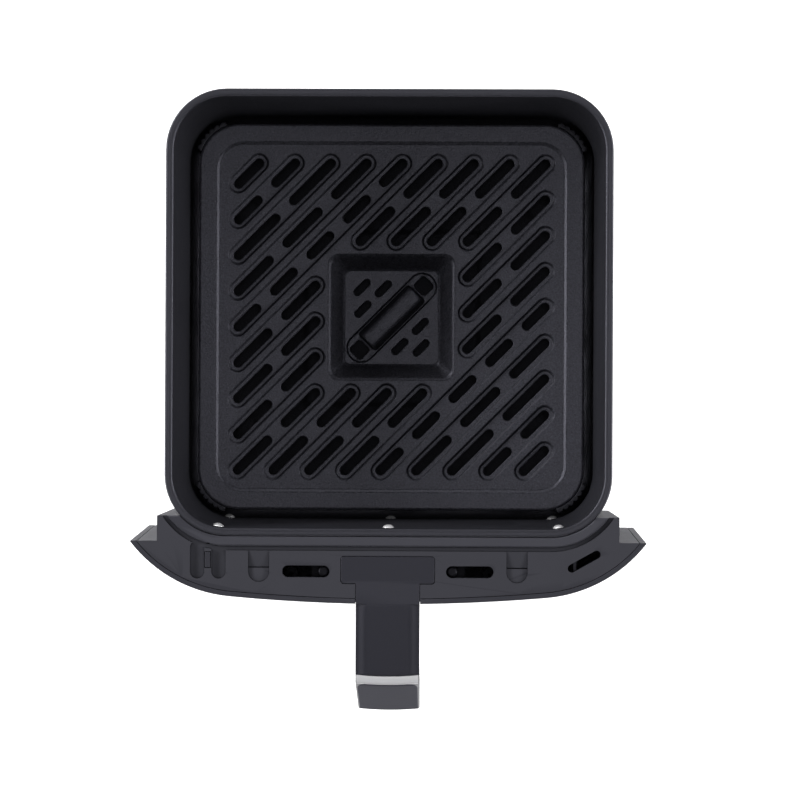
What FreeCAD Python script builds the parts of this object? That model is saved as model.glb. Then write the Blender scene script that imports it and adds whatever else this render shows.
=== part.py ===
import FreeCAD, Part
import math
import os

# Drawer of a square air fryer: a coated steel pan behind a plastic front panel with a fixed
# handle, and a loose crisper plate that stands inside the pan on four silicone corner bumpers.
# Millimetres. The origin is under the middle of the pan, on the surface it stands on.
# +Z is up, the handle points to -Y, and +X is to the right of someone facing the handle.

# ---- pan -------------------------------------------------------------------------------------
RIM_Z = 101.4
RIM_HALF = 124.5
RIM_CORNER = 34.0
BEAD_WIDTH = 4.5
BEAD_HEIGHT = 4.6
WALL = 1.4
FLOOR_Z = WALL
WALL_LEAN = 0.02
FLOOR_FILLET = 8.0
FLAT_HALF = RIM_HALF - RIM_CORNER
MOUTH_HALF = RIM_HALF - BEAD_WIDTH
FLOOR_PANEL_HALF = 52.0
FLOOR_PANEL_RISE = 1.2
FLOOR_PANEL_CORNER = 8.0
BUMP_X = 87.0
BUMP_Y = 64.0
BUMP_RADIUS = 8.0
BUMP_RISE = 1.6
BUMP_SLOPE = 2.5
EMBOSS_X = 70.0
EMBOSS_Z = 52.0
EMBOSS_HALF_SIZES = (4.0, 0.8, 14.0)

# ---- rivets and bracket behind the pan's front wall ------------------------------------------
RIVET_XS = (-95.0, 0.0, 95.0)
RIVET_ZS = (92.4, 14.4)
RIVET_HEAD_RADIUS = 2.9
RIVET_HEAD_HEIGHT = 1.7
RIVET_SHANK_RADIUS = 1.6
RIVET_TAIL_HEIGHT = 0.8
BRACKET_T = 1.5
BRACKET_HALF = 105.0
BRACKET_Z = (8.0, 95.4)
BRACKET_WINDOW = (32.0, 20.0, 7.0)
BRACKET_WINDOW_X = 44.0
BRACKET_WINDOW_Z = 45.7
TAB_HALF = 43.0
TAB_Z = 83.2
TAB_FRONT_Y = -152.0
TAB_CORNER = 5.0
SCREW_HOLE_RADIUS = 1.8
SLIP = 0.05

# ---- front panel -----------------------------------------------------------------------------
DECK_Z = 101.2
PANEL_BOTTOM_Z = 6.0
PANEL_FRONT_Y = -162.0
FRONT_RADIUS = 1000.0
FRONT_JOIN_X = 88.2
END_RADIUS = 78.6
TIP_Y = -127.8
WING_REAR_Y = -127.3
WING_LEAN = 4.0
SHOULDER_HALF = 128.5
SHOULDER_REAR_Y = -113.3
SKIN_T = 2.8
SEAM = 0.3
FRAME_WALL = 2.4
DECK_T = 4.4
RIM_GAP = 0.05
COLLAR_WIDTH = 5.6
COLLAR_T = 4.7
GROOVE_WIDTH = 2.4
GROOVE_DEPTH = 2.0
BASE_T = 2.4
BASE_SCREWS = ((58.0, -150.0), (104.0, -136.0))
FRAME_SCREW_X = 66.0
FRAME_SCREW_ZS = (16.0, 89.0)
FRAME_SCREW_HOLE_RADIUS = 2.1
POST_RADIUS = 3.6
POST_HEIGHT = 14.0
POST_BORE_RADIUS = 1.5
WEB_HALF = 0.8
WEB_LIFT = 4.0
SCREW_RECESS_RADIUS = 3.3
SCREW_RECESS_DEPTH = 1.4
SCREW_HEAD_RADIUS = 3.0
SCREW_HEAD_HEIGHT = 1.3
SCREW_HEAD_ROUND = 0.5
SCREW_SHANK_RADIUS = 1.45
SCREW_DRIVE_RADIUS = 1.0
SCREW_DRIVE_DEPTH = 0.8

# Openings and pockets in the deck, measured from the middle of the front panel.
SLOT_X = 45.6
SLOT_Y = -144.0
SLOT_HALF_LENGTH = 13.25
SLOT_RADIUS = 3.35
STUD_RADIUS = 2.9
STUD_TOP_DEPTH = 2.0
STUD_ROUND = 1.2
POCKET_X = 71.8
POCKET_RADIUS = 5.9
POCKET_REAR_Y = -131.4
POCKET_STEP_Y = -141.5
POCKET_DEPTH = 1.6
CHANNEL_XS = (-106.1, -94.2)
CHANNEL_RADIUS = 4.0
CHANNEL_FRONT_Y = -148.3
KEYHOLE_ENDS = ((102.2, -141.6), (115.9, -133.9))
KEYHOLE_RADIUS = 2.3
TAB_SWITCH_X = -100.15
SWITCH_HALF_WIDTH = 1.6
SWITCH_Y = (-142.2, -133.2)
SWITCH_DEPTH = 6.0

# ---- handle ----------------------------------------------------------------------------------
HANDLE_HALF = 17.75
ARM_UNDER_Z = 85.0
ARM_REAR_Y = -137.5
CAP_T = 5.0
CAP_FRONT_Y = -201.2
CAP_CHAMFER = 3.4
ROOT_HALF = 26.0
ROOT_Y = (-150.6, -135.6)
ROOT_T = 2.8
INSERT_FRONT_Y = -207.4
INSERT_FOOT_Y = -228.8
INSERT_FOOT_Z = 41.4
INSERT_T = 2.4
GRIP_DEPTH = 21.6
GRIP_EDGE = 5.0
KNUCKLE_RADIUS = 9.0
BROW_RADIUS = 1.2
HANDLE_SCREW_Y = -144.0
HANDLE_SCREW_XS = (-9.0, 9.0)
HANDLE_SCREW_WELL_RADIUS = 3.4
HANDLE_SCREW_SEAT_Z = DECK_Z - ROOT_T - 3.0

# ---- crisper plate ---------------------------------------------------------------------------
PLATE_HALF = 112.8
PLATE_CORNER = 23.5
PLATE_UNDER_Z = 19.6
BORDER_Z = 24.6
BORDER_EDGE = 1.2
FIELD_Z = 23.4
STEP_HALF = 102.7
STEP_CORNER = 16.0
STEP_WIDTH = 1.7
FIELD_T = 3.2
LANE_COUNT = 17
LANE_PITCH = 21.0
LANE_END = 90.0
LANE_DEPTH = 1.5
LANE_HALF_WIDTH = 5.5
INNER_END = 44.6
SLOT_BRIDGE = 10.7
PLATE_SLOT_RADIUS = 2.75
SLOTS_PER_LANE = (1, 2, 2, 3, 5, 2, 2, 2, 2, 2, 2, 2, 5, 3, 2, 2, 1)
SPLIT_LANES = range(5, 12)
WELL_TOP_HALF = 35.2
WELL_FLOOR_HALF = 27.5
WELL_FLOOR_Z = 13.4
WELL_T = 4.2
WELL_CORNER = 5.5
WELL_FLOOR_CORNER = 3.5
WELL_LIP_DEPTH = 0.6
DRAIN_CENTRES = ((-17.5, 17.8), (-5.0, 17.0), (-17.0, 5.0))
DRAIN_RADIUS = 2.1
DRAIN_REACH = 2.7
TROUGH_HALF_LENGTH = 34.35
TROUGH_RADIUS = 8.7
TROUGH_DEPTH = 2.4
BAR_TOP = (20.0, 4.3)
BAR_BASE = (21.0, 7.0)
BAR_RISE = 5.0
FINGER_HOLE_X = (22.2, 31.2)
FINGER_HOLE_HALF = 4.7

# ---- silicone corner bumpers -----------------------------------------------------------------
BUMPER_INNER_RADIUS = 16.0
BUMPER_OUTER_RADIUS = 26.7
BUMPER_FOOT_RADIUS = 21.0
BUMPER_FOOT_TOP_Z = 10.4
BUMPER_SPREAD = 26.5
BUMPER_TOP_Z = 24.2
BUMPER_RIBS = 6
BUMPER_RIB_RADIUS = 1.3
FOOT_GAP = 0.2


def point(x, y, z):
    return FreeCAD.Vector(x, y, z)


def prism(wire, height):
    """A solid that stands straight up from a flat closed wire."""
    return Part.Face(wire).extrude(point(0, 0, height))


def box(x_range, y_range, z_range):
    size = [high - low for low, high in (x_range, y_range, z_range)]
    return Part.makeBox(*size, point(x_range[0], y_range[0], z_range[0]))


def rounded_wire(half_x, half_y, radius, z):
    """A flat rectangle about the Z axis with round corners."""
    inward = radius * (1 - math.sqrt(0.5))
    corners = []
    for side_x, side_y in ((1, 1), (-1, 1), (-1, -1), (1, -1)):
        arc = [
            point(side_x * half_x, side_y * (half_y - radius), z),
            point(side_x * (half_x - inward), side_y * (half_y - inward), z),
            point(side_x * (half_x - radius), side_y * half_y, z),
        ]
        if side_x * side_y < 0:
            arc.reverse()
        corners.append(arc)
    edges = []
    for index, arc in enumerate(corners):
        edges.append(Part.Arc(*arc).toShape())
        edges.append(Part.LineSegment(arc[2], corners[(index + 1) % 4][0]).toShape())
    return Part.Wire(edges)


def rounded_block(half_x, half_y, radius, low_z, high_z):
    return prism(rounded_wire(half_x, half_y, radius, low_z), high_z - low_z)


def tapered_square(low, high):
    """A solid between two rounded squares, each given as (half width, corner radius, z)."""
    wires = [rounded_wire(half, half, radius, z) for half, radius, z in (low, high)]
    return Part.makeLoft(wires, True, True)


def capsule_wire(start, end, radius, z):
    """A flat stadium about the line between two (x, y) end centres."""
    along = math.atan2(end[1] - start[1], end[0] - start[0])
    side = point(-math.sin(along), math.cos(along), 0) * radius
    ahead = point(math.cos(along), math.sin(along), 0) * radius
    first = point(start[0], start[1], z)
    last = point(end[0], end[1], z)
    edges = [
        Part.LineSegment(first - side, last - side).toShape(),
        Part.Arc(last - side, last + ahead, last + side).toShape(),
        Part.LineSegment(last + side, first + side).toShape(),
        Part.Arc(first + side, first - ahead, first - side).toShape(),
    ]
    return Part.Wire(edges)


def capsule(start, end, radius, low_z, high_z):
    return prism(capsule_wire(start, end, radius, low_z), high_z - low_z)


def capsule_stack(start, end, levels):
    """A stadium that changes width with height, from a list of (radius, z) levels."""
    layers = []
    for low, high in zip(levels, levels[1:]):
        wires = [capsule_wire(start, end, radius, z) for radius, z in (low, high)]
        layers.append(Part.makeLoft(wires, True, True))
    return layers[0].multiFuse(layers[1:]) if len(layers) > 1 else layers[0]


def side_profile(points, half_width, centre_x=0.0):
    """A solid of constant width along X from a list of (y, z) corners."""
    corners = [point(centre_x - half_width, y, z) for y, z in points]
    face = Part.Face(Part.makePolygon(corners + corners[:1]))
    return face.extrude(point(2 * half_width, 0, 0))


def mirrored(shape):
    return shape.mirror(point(0, 0, 0), point(1, 0, 0))


def one_solid(shape):
    """The single solid left by a boolean, cleaned of split faces."""
    clean = shape.removeSplitter()
    assert len(clean.Solids) == 1, len(clean.Solids)
    assert clean.isValid()
    return clean.Solids[0]


def write(name, shape):
    shape.exportStep(f"parts/{name}.step")


# ---- pan -------------------------------------------------------------------------------------


def wall_half(z):
    """Half the pan's inner width at a height: the walls lean out by a small draft."""
    return MOUTH_HALF - WALL_LEAN * (RIM_Z - z)


def pan_body(offset, low_z, high_z):
    """The tapered inside of the pan, grown by an offset, between two heights."""
    ends = []
    for z in (low_z, high_z):
        half = wall_half(z) + offset
        ends.append((half, half - FLAT_HALF, z))
    return tapered_square(*ends)


def lowest_edges(shape):
    low = shape.BoundBox.ZMin
    return [edge for edge in shape.Edges if edge.BoundBox.ZMax < low + 0.01]


def make_pan():
    outside = pan_body(WALL, FLOOR_Z - WALL, RIM_Z)
    outside = outside.makeFillet(FLOOR_FILLET + WALL, lowest_edges(outside))
    inside = pan_body(0.0, FLOOR_Z, RIM_Z + 1)
    inside = inside.makeFillet(FLOOR_FILLET, lowest_edges(inside))
    bead = rounded_block(RIM_HALF, RIM_HALF, RIM_CORNER, RIM_Z - BEAD_HEIGHT, RIM_Z)
    outer_edges = [edge for edge in bead.Edges if edge.BoundBox.ZLength < 0.01]
    bead = bead.makeFillet(BEAD_HEIGHT * 0.42, outer_edges)
    pan = outside.fuse(bead).cut(inside)
    for side_x in (-1, 1):
        for side_y in (-1, 1):
            pan = pan.fuse(floor_bump(side_x * BUMP_X, side_y * BUMP_Y, 0.0))
            pan = pan.cut(floor_bump(side_x * BUMP_X, side_y * BUMP_Y, WALL))
        pan = pan.cut(wall_emboss(side_x * EMBOSS_X))
    pan = pan.fuse(floor_panel(FLOOR_PANEL_HALF, FLOOR_Z))
    pan = pan.cut(floor_panel(FLOOR_PANEL_HALF - WALL, FLOOR_Z - WALL))
    for x in RIVET_XS:
        for z in RIVET_ZS:
            pan = pan.cut(rivet_bore(x, z))
    return one_solid(pan)


def floor_bump(x, y, inset):
    """A round bump pressed up from the pan's floor, or the hollow under it."""
    radius = BUMP_RADIUS - inset
    return Part.makeCone(radius, radius - BUMP_SLOPE, BUMP_RISE, point(x, y, FLOOR_Z - inset))


def floor_panel(half, low_z):
    """The raised square stamped in the middle of the floor."""
    rise = FLOOR_PANEL_RISE
    corner = FLOOR_PANEL_CORNER
    return tapered_square((half, corner, low_z), (half - rise, corner - rise, low_z + rise))


def wall_emboss(x):
    """A shallow upright oval pressed outwards into the front wall."""
    wall_y = -wall_half(EMBOSS_Z)
    bulge = Part.makeSphere(1.0)
    stretch = FreeCAD.Matrix()
    stretch.scale(*EMBOSS_HALF_SIZES)
    bulge = bulge.transformGeometry(stretch)
    bulge.translate(point(x, wall_y, EMBOSS_Z))
    return bulge


def rivet_place(x, z):
    """Where a rivet's axis meets the inside of the front wall, and the way out through it."""
    half = wall_half(z)
    corner = half - FLAT_HALF
    past_flat = max(abs(x) - FLAT_HALF, 0.0)
    turn = math.asin(past_flat / corner)
    y = -(FLAT_HALF + corner * math.cos(turn))
    outward = point(math.copysign(math.sin(turn), x), -math.cos(turn), -WALL_LEAN)
    return point(x, y, z), outward.normalize()


def rivet_bore(x, z):
    """A rivet's hole, with a flat seat for its head where the wall curves."""
    start, outward = rivet_place(x, z)
    hole = Part.makeCylinder(RIVET_SHANK_RADIUS + SLIP, 12.0, start - outward * 6.0, outward)
    return hole.fuse(Part.makeCylinder(RIVET_HEAD_RADIUS + SLIP, 3.0, start - outward * 3.0, outward))


def make_rivet(x, z):
    start, outward = rivet_place(x, z)
    grip = WALL + SLIP + BRACKET_T
    shank = Part.makeCylinder(RIVET_SHANK_RADIUS, grip, start, outward)
    tail = Part.makeCylinder(RIVET_HEAD_RADIUS, RIVET_TAIL_HEIGHT, start + outward * grip, outward)
    cap_radius = (RIVET_HEAD_RADIUS ** 2 + RIVET_HEAD_HEIGHT ** 2) / (2 * RIVET_HEAD_HEIGHT)
    ball = Part.makeSphere(cap_radius, start + outward * (cap_radius - RIVET_HEAD_HEIGHT))
    keep = Part.makeCylinder(2 * cap_radius, 2 * cap_radius, start, outward * -1)
    return one_solid(ball.common(keep).multiFuse([shank, tail]))


def make_bracket():
    """Pressed plate behind the front wall, with a shelf that carries handle and studs."""
    low, high = BRACKET_Z
    plate = pan_body(WALL + SLIP + BRACKET_T, low, high).cut(pan_body(WALL + SLIP, low, high))
    plate = plate.common(box((-BRACKET_HALF, BRACKET_HALF), (-140, -100), BRACKET_Z))
    half_x, half_z, radius = BRACKET_WINDOW
    for side in (-1, 1):
        window = rounded_block(half_x, half_z, radius, 0, 60)
        window.rotate(point(0, 0, 0), point(1, 0, 0), 90)
        window.translate(point(side * BRACKET_WINDOW_X, -90, BRACKET_WINDOW_Z))
        plate = plate.cut(window)
    shelf = box((-TAB_HALF, TAB_HALF), (TAB_FRONT_Y, -122.2), (TAB_Z, TAB_Z + BRACKET_T))
    front_corners = [e for e in shelf.Edges if e.BoundBox.ZLength > 1 and e.BoundBox.YMax < -150]
    shelf = shelf.makeFillet(TAB_CORNER, front_corners)
    bracket = plate.fuse(shelf)
    for x in RIVET_XS:
        for z in RIVET_ZS:
            bracket = bracket.cut(rivet_bore(x, z))
    for x in HANDLE_SCREW_XS:
        hole = Part.makeCylinder(SCREW_HOLE_RADIUS, 10, point(x, HANDLE_SCREW_Y, TAB_Z - 5))
        bracket = bracket.cut(hole)
    for x, z in frame_screw_places():
        hole = Part.makeCylinder(SCREW_HOLE_RADIUS, 12, point(x, -130, z), point(0, 1, 0))
        bracket = bracket.cut(hole)
    return one_solid(bracket)


# ---- front panel -----------------------------------------------------------------------------


def front_wire(inset, z):
    """The panel's plan outline in front, moved inwards, closed by straight lines behind."""
    join = math.asin(FRONT_JOIN_X / FRONT_RADIUS)
    centre = point(0, PANEL_FRONT_Y + FRONT_RADIUS, z)
    slide = FRONT_RADIUS - END_RADIUS
    end_centre = centre + point(slide * math.sin(join), -slide * math.cos(join), 0)
    radius = END_RADIUS - inset
    tip_turn = math.acos((end_centre.y - TIP_Y) / radius)

    def on_end(turn):
        return end_centre + point(radius * math.sin(turn), -radius * math.cos(turn), 0)

    def flip(place):
        return point(-place.x, place.y, place.z)

    start = on_end(join)
    middle = on_end((join + tip_turn) / 2)
    tip = on_end(tip_turn)
    front = point(0, PANEL_FRONT_Y + inset, z)
    rear = point(tip.x, -100, z)
    edges = [
        Part.Arc(flip(tip), flip(middle), flip(start)).toShape(),
        Part.Arc(flip(start), front, start).toShape(),
        Part.Arc(start, middle, tip).toShape(),
        Part.LineSegment(tip, rear).toShape(),
        Part.LineSegment(rear, flip(rear)).toShape(),
        Part.LineSegment(flip(rear), flip(tip)).toShape(),
    ]
    return Part.Wire(edges)


def wing_cutter(inset):
    """What is cut away behind one wing: a wall that leans back towards its foot."""
    lean = WING_LEAN / (DECK_Z - PANEL_BOTTOM_Z)
    top_z = DECK_Z + 10
    top_y = WING_REAR_Y - inset - lean * 10
    low_y = WING_REAR_Y - inset + WING_LEAN + lean * PANEL_BOTTOM_Z
    corners = [(top_y, top_z), (low_y, 0.0), (-90.0, 0.0), (-90.0, top_z)]
    return side_profile(corners, 30.0, SHOULDER_HALF - inset + 30.0)


def panel_blank(front_inset, wall_inset, low_z, high_z):
    """Everything between the pan's rim and the front outline, with all walls moved inwards."""
    blank = prism(front_wire(front_inset, low_z), high_z - low_z)
    blank = blank.cut(box((-200, 200), (SHOULDER_REAR_Y - wall_inset, 0), (-5, 200)))
    clear = RIM_HALF + RIM_GAP + wall_inset
    blank = blank.cut(rounded_block(clear, clear, clear - FLAT_HALF, -5, 200))
    blank = blank.cut(wing_cutter(wall_inset))
    return blank.cut(mirrored(wing_cutter(wall_inset)))


def rim_band(inner, outer, low_z, high_z):
    """A band that follows the pan's rim, between two distances from the rim's edge."""
    near = RIM_HALF + inner
    far = RIM_HALF + outer
    band = rounded_block(far, far, far - FLAT_HALF, low_z, high_z)
    band = band.cut(rounded_block(near, near, near - FLAT_HALF, low_z - 1, high_z + 1))
    return band.common(box((-200, 200), (-200, SHOULDER_REAR_Y), (0, 200)))


def handle_cutout(slack):
    """The way through skin and deck for the arm of the handle and its root cover."""
    low_y, high_y = ROOT_Y
    half = HANDLE_HALF + slack
    arm = box((-half, half), (-170, ARM_REAR_Y + slack), (ARM_UNDER_Z - slack, 200))
    cover_low = DECK_Z - ROOT_T - slack
    cover = rounded_block(ROOT_HALF + slack, (high_y - low_y) / 2 + slack, 2.0, cover_low, 200)
    cover.translate(point(0, (low_y + high_y) / 2, 0))
    return arm.fuse(cover)


def frame_screw_places():
    return [(side * FRAME_SCREW_X, z) for side in (-1, 1) for z in FRAME_SCREW_ZS]


def base_screw_places():
    return [(side * x, y) for side in (-1, 1) for x, y in BASE_SCREWS]


def slot_tool(side):
    start = (side * SLOT_X - SLOT_HALF_LENGTH + SLOT_RADIUS, SLOT_Y)
    end = (side * SLOT_X + SLOT_HALF_LENGTH - SLOT_RADIUS, SLOT_Y)
    return capsule(start, end, SLOT_RADIUS, DECK_Z - DECK_T - 1, DECK_Z + 1)


def pocket_tool(side):
    """A sloping tongue seat with a half-round pocket in front of it."""
    x = side * POCKET_X
    ramp = side_profile(
        [(POCKET_REAR_Y, DECK_Z + 1), (POCKET_REAR_Y, DECK_Z - 0.2),
         (POCKET_STEP_Y, DECK_Z - POCKET_DEPTH), (POCKET_STEP_Y, DECK_Z + 1)],
        POCKET_RADIUS, x)
    line = box((x - POCKET_RADIUS, x + POCKET_RADIUS), (POCKET_STEP_Y - 0.6, POCKET_STEP_Y),
               (DECK_Z - 3.0, DECK_Z + 1))
    bowl_y = POCKET_STEP_Y - 2.6
    bowl = capsule((x, POCKET_STEP_Y + POCKET_RADIUS), (x, bowl_y), POCKET_RADIUS,
                   DECK_Z - 1.2, DECK_Z + 1)
    bowl = bowl.common(box((-200, 200), (-200, POCKET_STEP_Y), (0, 200)))
    return ramp.multiFuse([line, bowl])


def channel_tool(x):
    front = CHANNEL_FRONT_Y + CHANNEL_RADIUS
    rear = -RIM_HALF - RIM_GAP - COLLAR_WIDTH - 1.0
    return capsule((x, rear), (x, front), CHANNEL_RADIUS, DECK_Z - GROOVE_DEPTH, DECK_Z + 1)


def switch_seat(slack):
    low_y, high_y = SWITCH_Y
    half = SWITCH_HALF_WIDTH + slack
    return box((TAB_SWITCH_X - half, TAB_SWITCH_X + half), (low_y - slack, high_y + slack),
               (DECK_Z - DECK_T - SWITCH_DEPTH - 0.5, DECK_Z + 1))


def make_frame():
    front_inset = SKIN_T + SEAM
    frame = panel_blank(front_inset, 0.0, PANEL_BOTTOM_Z, DECK_Z)
    hollow_top = DECK_Z - DECK_T
    frame = frame.cut(panel_blank(front_inset + FRAME_WALL, FRAME_WALL, 0.0, hollow_top))
    collar_edge = RIM_GAP + COLLAR_WIDTH
    groove_edge = collar_edge + GROOVE_WIDTH
    # A backing under the groove keeps the deck's full thickness where it meets the rear wall.
    backing = rim_band(RIM_GAP, groove_edge + 1.5, hollow_top - 4.0, hollow_top)
    backing = backing.common(panel_blank(front_inset, 0.0, PANEL_BOTTOM_Z, DECK_Z))
    frame = frame.fuse(backing)
    frame = frame.cut(rim_band(-1.0, collar_edge + SLIP, DECK_Z - COLLAR_T, DECK_Z + 1))
    frame = frame.cut(rim_band(collar_edge, groove_edge, DECK_Z - GROOVE_DEPTH, DECK_Z + 1))
    tools = [handle_cutout(SEAM), switch_seat(0.2)]
    tools += [slot_tool(side) for side in (-1, 1)]
    tools += [pocket_tool(side) for side in (-1, 1)]
    tools += [channel_tool(x) for x in CHANNEL_XS]
    tools.append(capsule(*KEYHOLE_ENDS, KEYHOLE_RADIUS, DECK_Z - DECK_T - 1, DECK_Z + 1))
    tools.append(box((-TAB_HALF - 0.5, TAB_HALF + 0.5), (-129, -120), (TAB_Z - 0.5, TAB_Z + 2)))
    for x, z in frame_screw_places():
        start = point(x, -130, z)
        tools.append(Part.makeCylinder(FRAME_SCREW_HOLE_RADIUS, 12, start, point(0, 1, 0)))
    for tool in tools:
        frame = frame.cut(tool)
    for x, y in base_screw_places():
        post_z = PANEL_BOTTOM_Z + BASE_T + SLIP
        post = Part.makeCylinder(POST_RADIUS, POST_HEIGHT, point(x, y, post_z))
        web_z = (PANEL_BOTTOM_Z + BASE_T + WEB_LIFT, hollow_top)
        web = box((x - WEB_HALF, x + WEB_HALF), (PANEL_FRONT_Y + 2, y), web_z)
        web = web.common(panel_blank(front_inset, 0.0, PANEL_BOTTOM_Z, DECK_Z))
        frame = frame.multiFuse([post, web])
        frame = frame.cut(Part.makeCylinder(POST_BORE_RADIUS, 12, point(x, y, PANEL_BOTTOM_Z)))
    return one_solid(frame)


def make_skin():
    skin = prism(front_wire(0.0, PANEL_BOTTOM_Z), DECK_Z - PANEL_BOTTOM_Z)
    skin = skin.cut(prism(front_wire(SKIN_T, 0.0), DECK_Z + 10))
    skin = skin.cut(wing_cutter(0.0))
    skin = skin.cut(mirrored(wing_cutter(0.0)))
    return one_solid(skin.cut(handle_cutout(SEAM)))


def make_collar():
    top_z = DECK_Z + 0.1
    collar = rim_band(RIM_GAP, RIM_GAP + COLLAR_WIDTH, DECK_Z - COLLAR_T, top_z)
    top_edges = [e for e in collar.Edges if e.BoundBox.ZMin > top_z - 0.01]
    collar = collar.makeFillet(0.9, top_edges)
    notch_x = (TAB_SWITCH_X - 1.1, TAB_SWITCH_X + 1.1)
    notch = box(notch_x, (-133.0, -128.3), (DECK_Z - COLLAR_T - 1, top_z + 1))
    return one_solid(collar.cut(notch))


def make_panel_base():
    """The closing plate under the panel, inside the frame's walls."""
    base = panel_blank(SKIN_T + SEAM + FRAME_WALL + SLIP, FRAME_WALL + SLIP,
                       PANEL_BOTTOM_Z, PANEL_BOTTOM_Z + BASE_T)
    for x, y in base_screw_places():
        base = base.cut(Part.makeCylinder(SCREW_HOLE_RADIUS, 20, point(x, y, 0)))
        recess = Part.makeCylinder(SCREW_RECESS_RADIUS, SCREW_RECESS_DEPTH,
                                   point(x, y, PANEL_BOTTOM_Z))
        base = base.cut(recess)
    return one_solid(base)


def pan_head_screw(place, inward, length):
    """A screw whose head's underside is at a place and whose shank runs inwards from it."""
    top = place - inward * SCREW_HEAD_HEIGHT
    head = Part.makeCylinder(SCREW_HEAD_RADIUS, SCREW_HEAD_HEIGHT, top, inward)
    rim = [e for e in head.Edges if e.Length > 1 and e.CenterOfMass.distanceToPoint(top) < 0.01]
    head = head.makeFillet(SCREW_HEAD_ROUND, rim)
    shank = Part.makeCylinder(SCREW_SHANK_RADIUS, length, place, inward)
    drive = Part.makeCylinder(SCREW_DRIVE_RADIUS, SCREW_DRIVE_DEPTH, top, inward)
    return one_solid(head.fuse(shank).cut(drive))


def make_base_screws():
    up = point(0, 0, 1)
    seat_z = PANEL_BOTTOM_Z + SCREW_RECESS_DEPTH
    return [pan_head_screw(point(x, y, seat_z), up, 9.0) for x, y in base_screw_places()]


def make_frame_screws():
    seat_y = -(RIM_HALF + RIM_GAP + FRAME_WALL)
    screws = []
    for x, z in frame_screw_places():
        reach = -seat_y - wall_half(z) - WALL - 2 * SLIP - 0.1
        screws.append(pan_head_screw(point(x, seat_y, z), point(0, 1, 0), reach))
    return screws


def make_switch_tab():
    low_y, high_y = SWITCH_Y
    half = SWITCH_HALF_WIDTH
    tab = box((TAB_SWITCH_X - half, TAB_SWITCH_X + half), (low_y, high_y),
              (DECK_Z - DECK_T - SWITCH_DEPTH, DECK_Z - 0.1))
    top_edges = [e for e in tab.Edges if e.BoundBox.ZMin > DECK_Z - 0.2]
    return one_solid(tab.makeFillet(0.5, top_edges))


def make_stud(side):
    """A turned pin on the bracket's shelf that shows at the inner end of a deck slot."""
    x = side * (SLOT_X - SLOT_HALF_LENGTH + SLOT_RADIUS)
    low_z = TAB_Z + BRACKET_T
    top_z = DECK_Z - STUD_TOP_DEPTH
    pin = Part.makeCylinder(STUD_RADIUS, top_z - low_z, point(x, SLOT_Y, low_z))
    top = [e for e in pin.Edges if e.BoundBox.ZMin > top_z - 0.1]
    return one_solid(pin.makeFillet(STUD_ROUND, top))


# ---- handle ----------------------------------------------------------------------------------


def grip_y(z, depth):
    """Y on a plane that slants with the front of the grip, a level depth behind its face."""
    slope = (INSERT_FRONT_Y - INSERT_FOOT_Y) / (DECK_Z - INSERT_FOOT_Z)
    return INSERT_FRONT_Y - slope * (DECK_Z - z) + depth


def make_root_cover():
    low_y, high_y = ROOT_Y
    cover = rounded_block(ROOT_HALF, (high_y - low_y) / 2, 1.8, DECK_Z - ROOT_T, DECK_Z)
    cover.translate(point(0, (low_y + high_y) / 2, 0))
    neck = box((-HANDLE_HALF, HANDLE_HALF), (PANEL_FRONT_Y - 0.1, low_y + 2), (DECK_Z - ROOT_T, DECK_Z))
    return one_solid(cover.fuse(neck))


def make_handle_cap():
    rear_y = PANEL_FRONT_Y - 0.3
    cap = box((-HANDLE_HALF, HANDLE_HALF), (CAP_FRONT_Y, rear_y), (DECK_Z - CAP_T, DECK_Z - 0.3))
    sides = [e for e in cap.Edges if e.BoundBox.YLength > 5 and e.BoundBox.ZMin > DECK_Z - 1]
    return one_solid(cap.makeChamfer(CAP_CHAMFER, sides))


def make_handle_body():
    """The arm and the grip behind the bright insert, moulded in one."""
    inner = INSERT_T / math.cos(math.atan2(INSERT_FRONT_Y - INSERT_FOOT_Y, DECK_Z - INSERT_FOOT_Z))
    lip_z = DECK_Z - INSERT_T - SLIP
    shelf_z = DECK_Z - CAP_T - SLIP
    inner += SLIP
    corners = [
        (ARM_REAR_Y, ARM_UNDER_Z),
        (ARM_REAR_Y, DECK_Z - ROOT_T - SLIP),
        (PANEL_FRONT_Y - 0.2, DECK_Z - ROOT_T - SLIP),
        (PANEL_FRONT_Y - 0.2, shelf_z),
        (CAP_FRONT_Y - SLIP, shelf_z),
        (CAP_FRONT_Y - SLIP, lip_z),
        (grip_y(lip_z, inner), lip_z),
        (grip_y(INSERT_FOOT_Z, inner), INSERT_FOOT_Z),
        (grip_y(INSERT_FOOT_Z, GRIP_DEPTH), INSERT_FOOT_Z),
        (grip_y(ARM_UNDER_Z, GRIP_DEPTH), ARM_UNDER_Z),
    ]
    body = side_profile(corners, HANDLE_HALF)
    knuckle = [e for e in body.Edges if e.BoundBox.XLength > 5
               and abs(e.CenterOfMass.y - corners[-1][0]) < 0.01
               and abs(e.CenterOfMass.z - ARM_UNDER_Z) < 0.01]
    body = body.makeFillet(KNUCKLE_RADIUS, knuckle)
    hand_edges = [e for e in body.Edges if is_hand_edge(e)]
    body = body.makeFillet(GRIP_EDGE, hand_edges)
    for x in HANDLE_SCREW_XS:
        under = point(x, HANDLE_SCREW_Y, ARM_UNDER_Z - 5)
        seat = point(x, HANDLE_SCREW_Y, HANDLE_SCREW_SEAT_Z)
        body = body.cut(Part.makeCylinder(SCREW_HOLE_RADIUS, 30, under))
        body = body.cut(Part.makeCylinder(HANDLE_SCREW_WELL_RADIUS, 30, seat))
    return one_solid(body)


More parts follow.
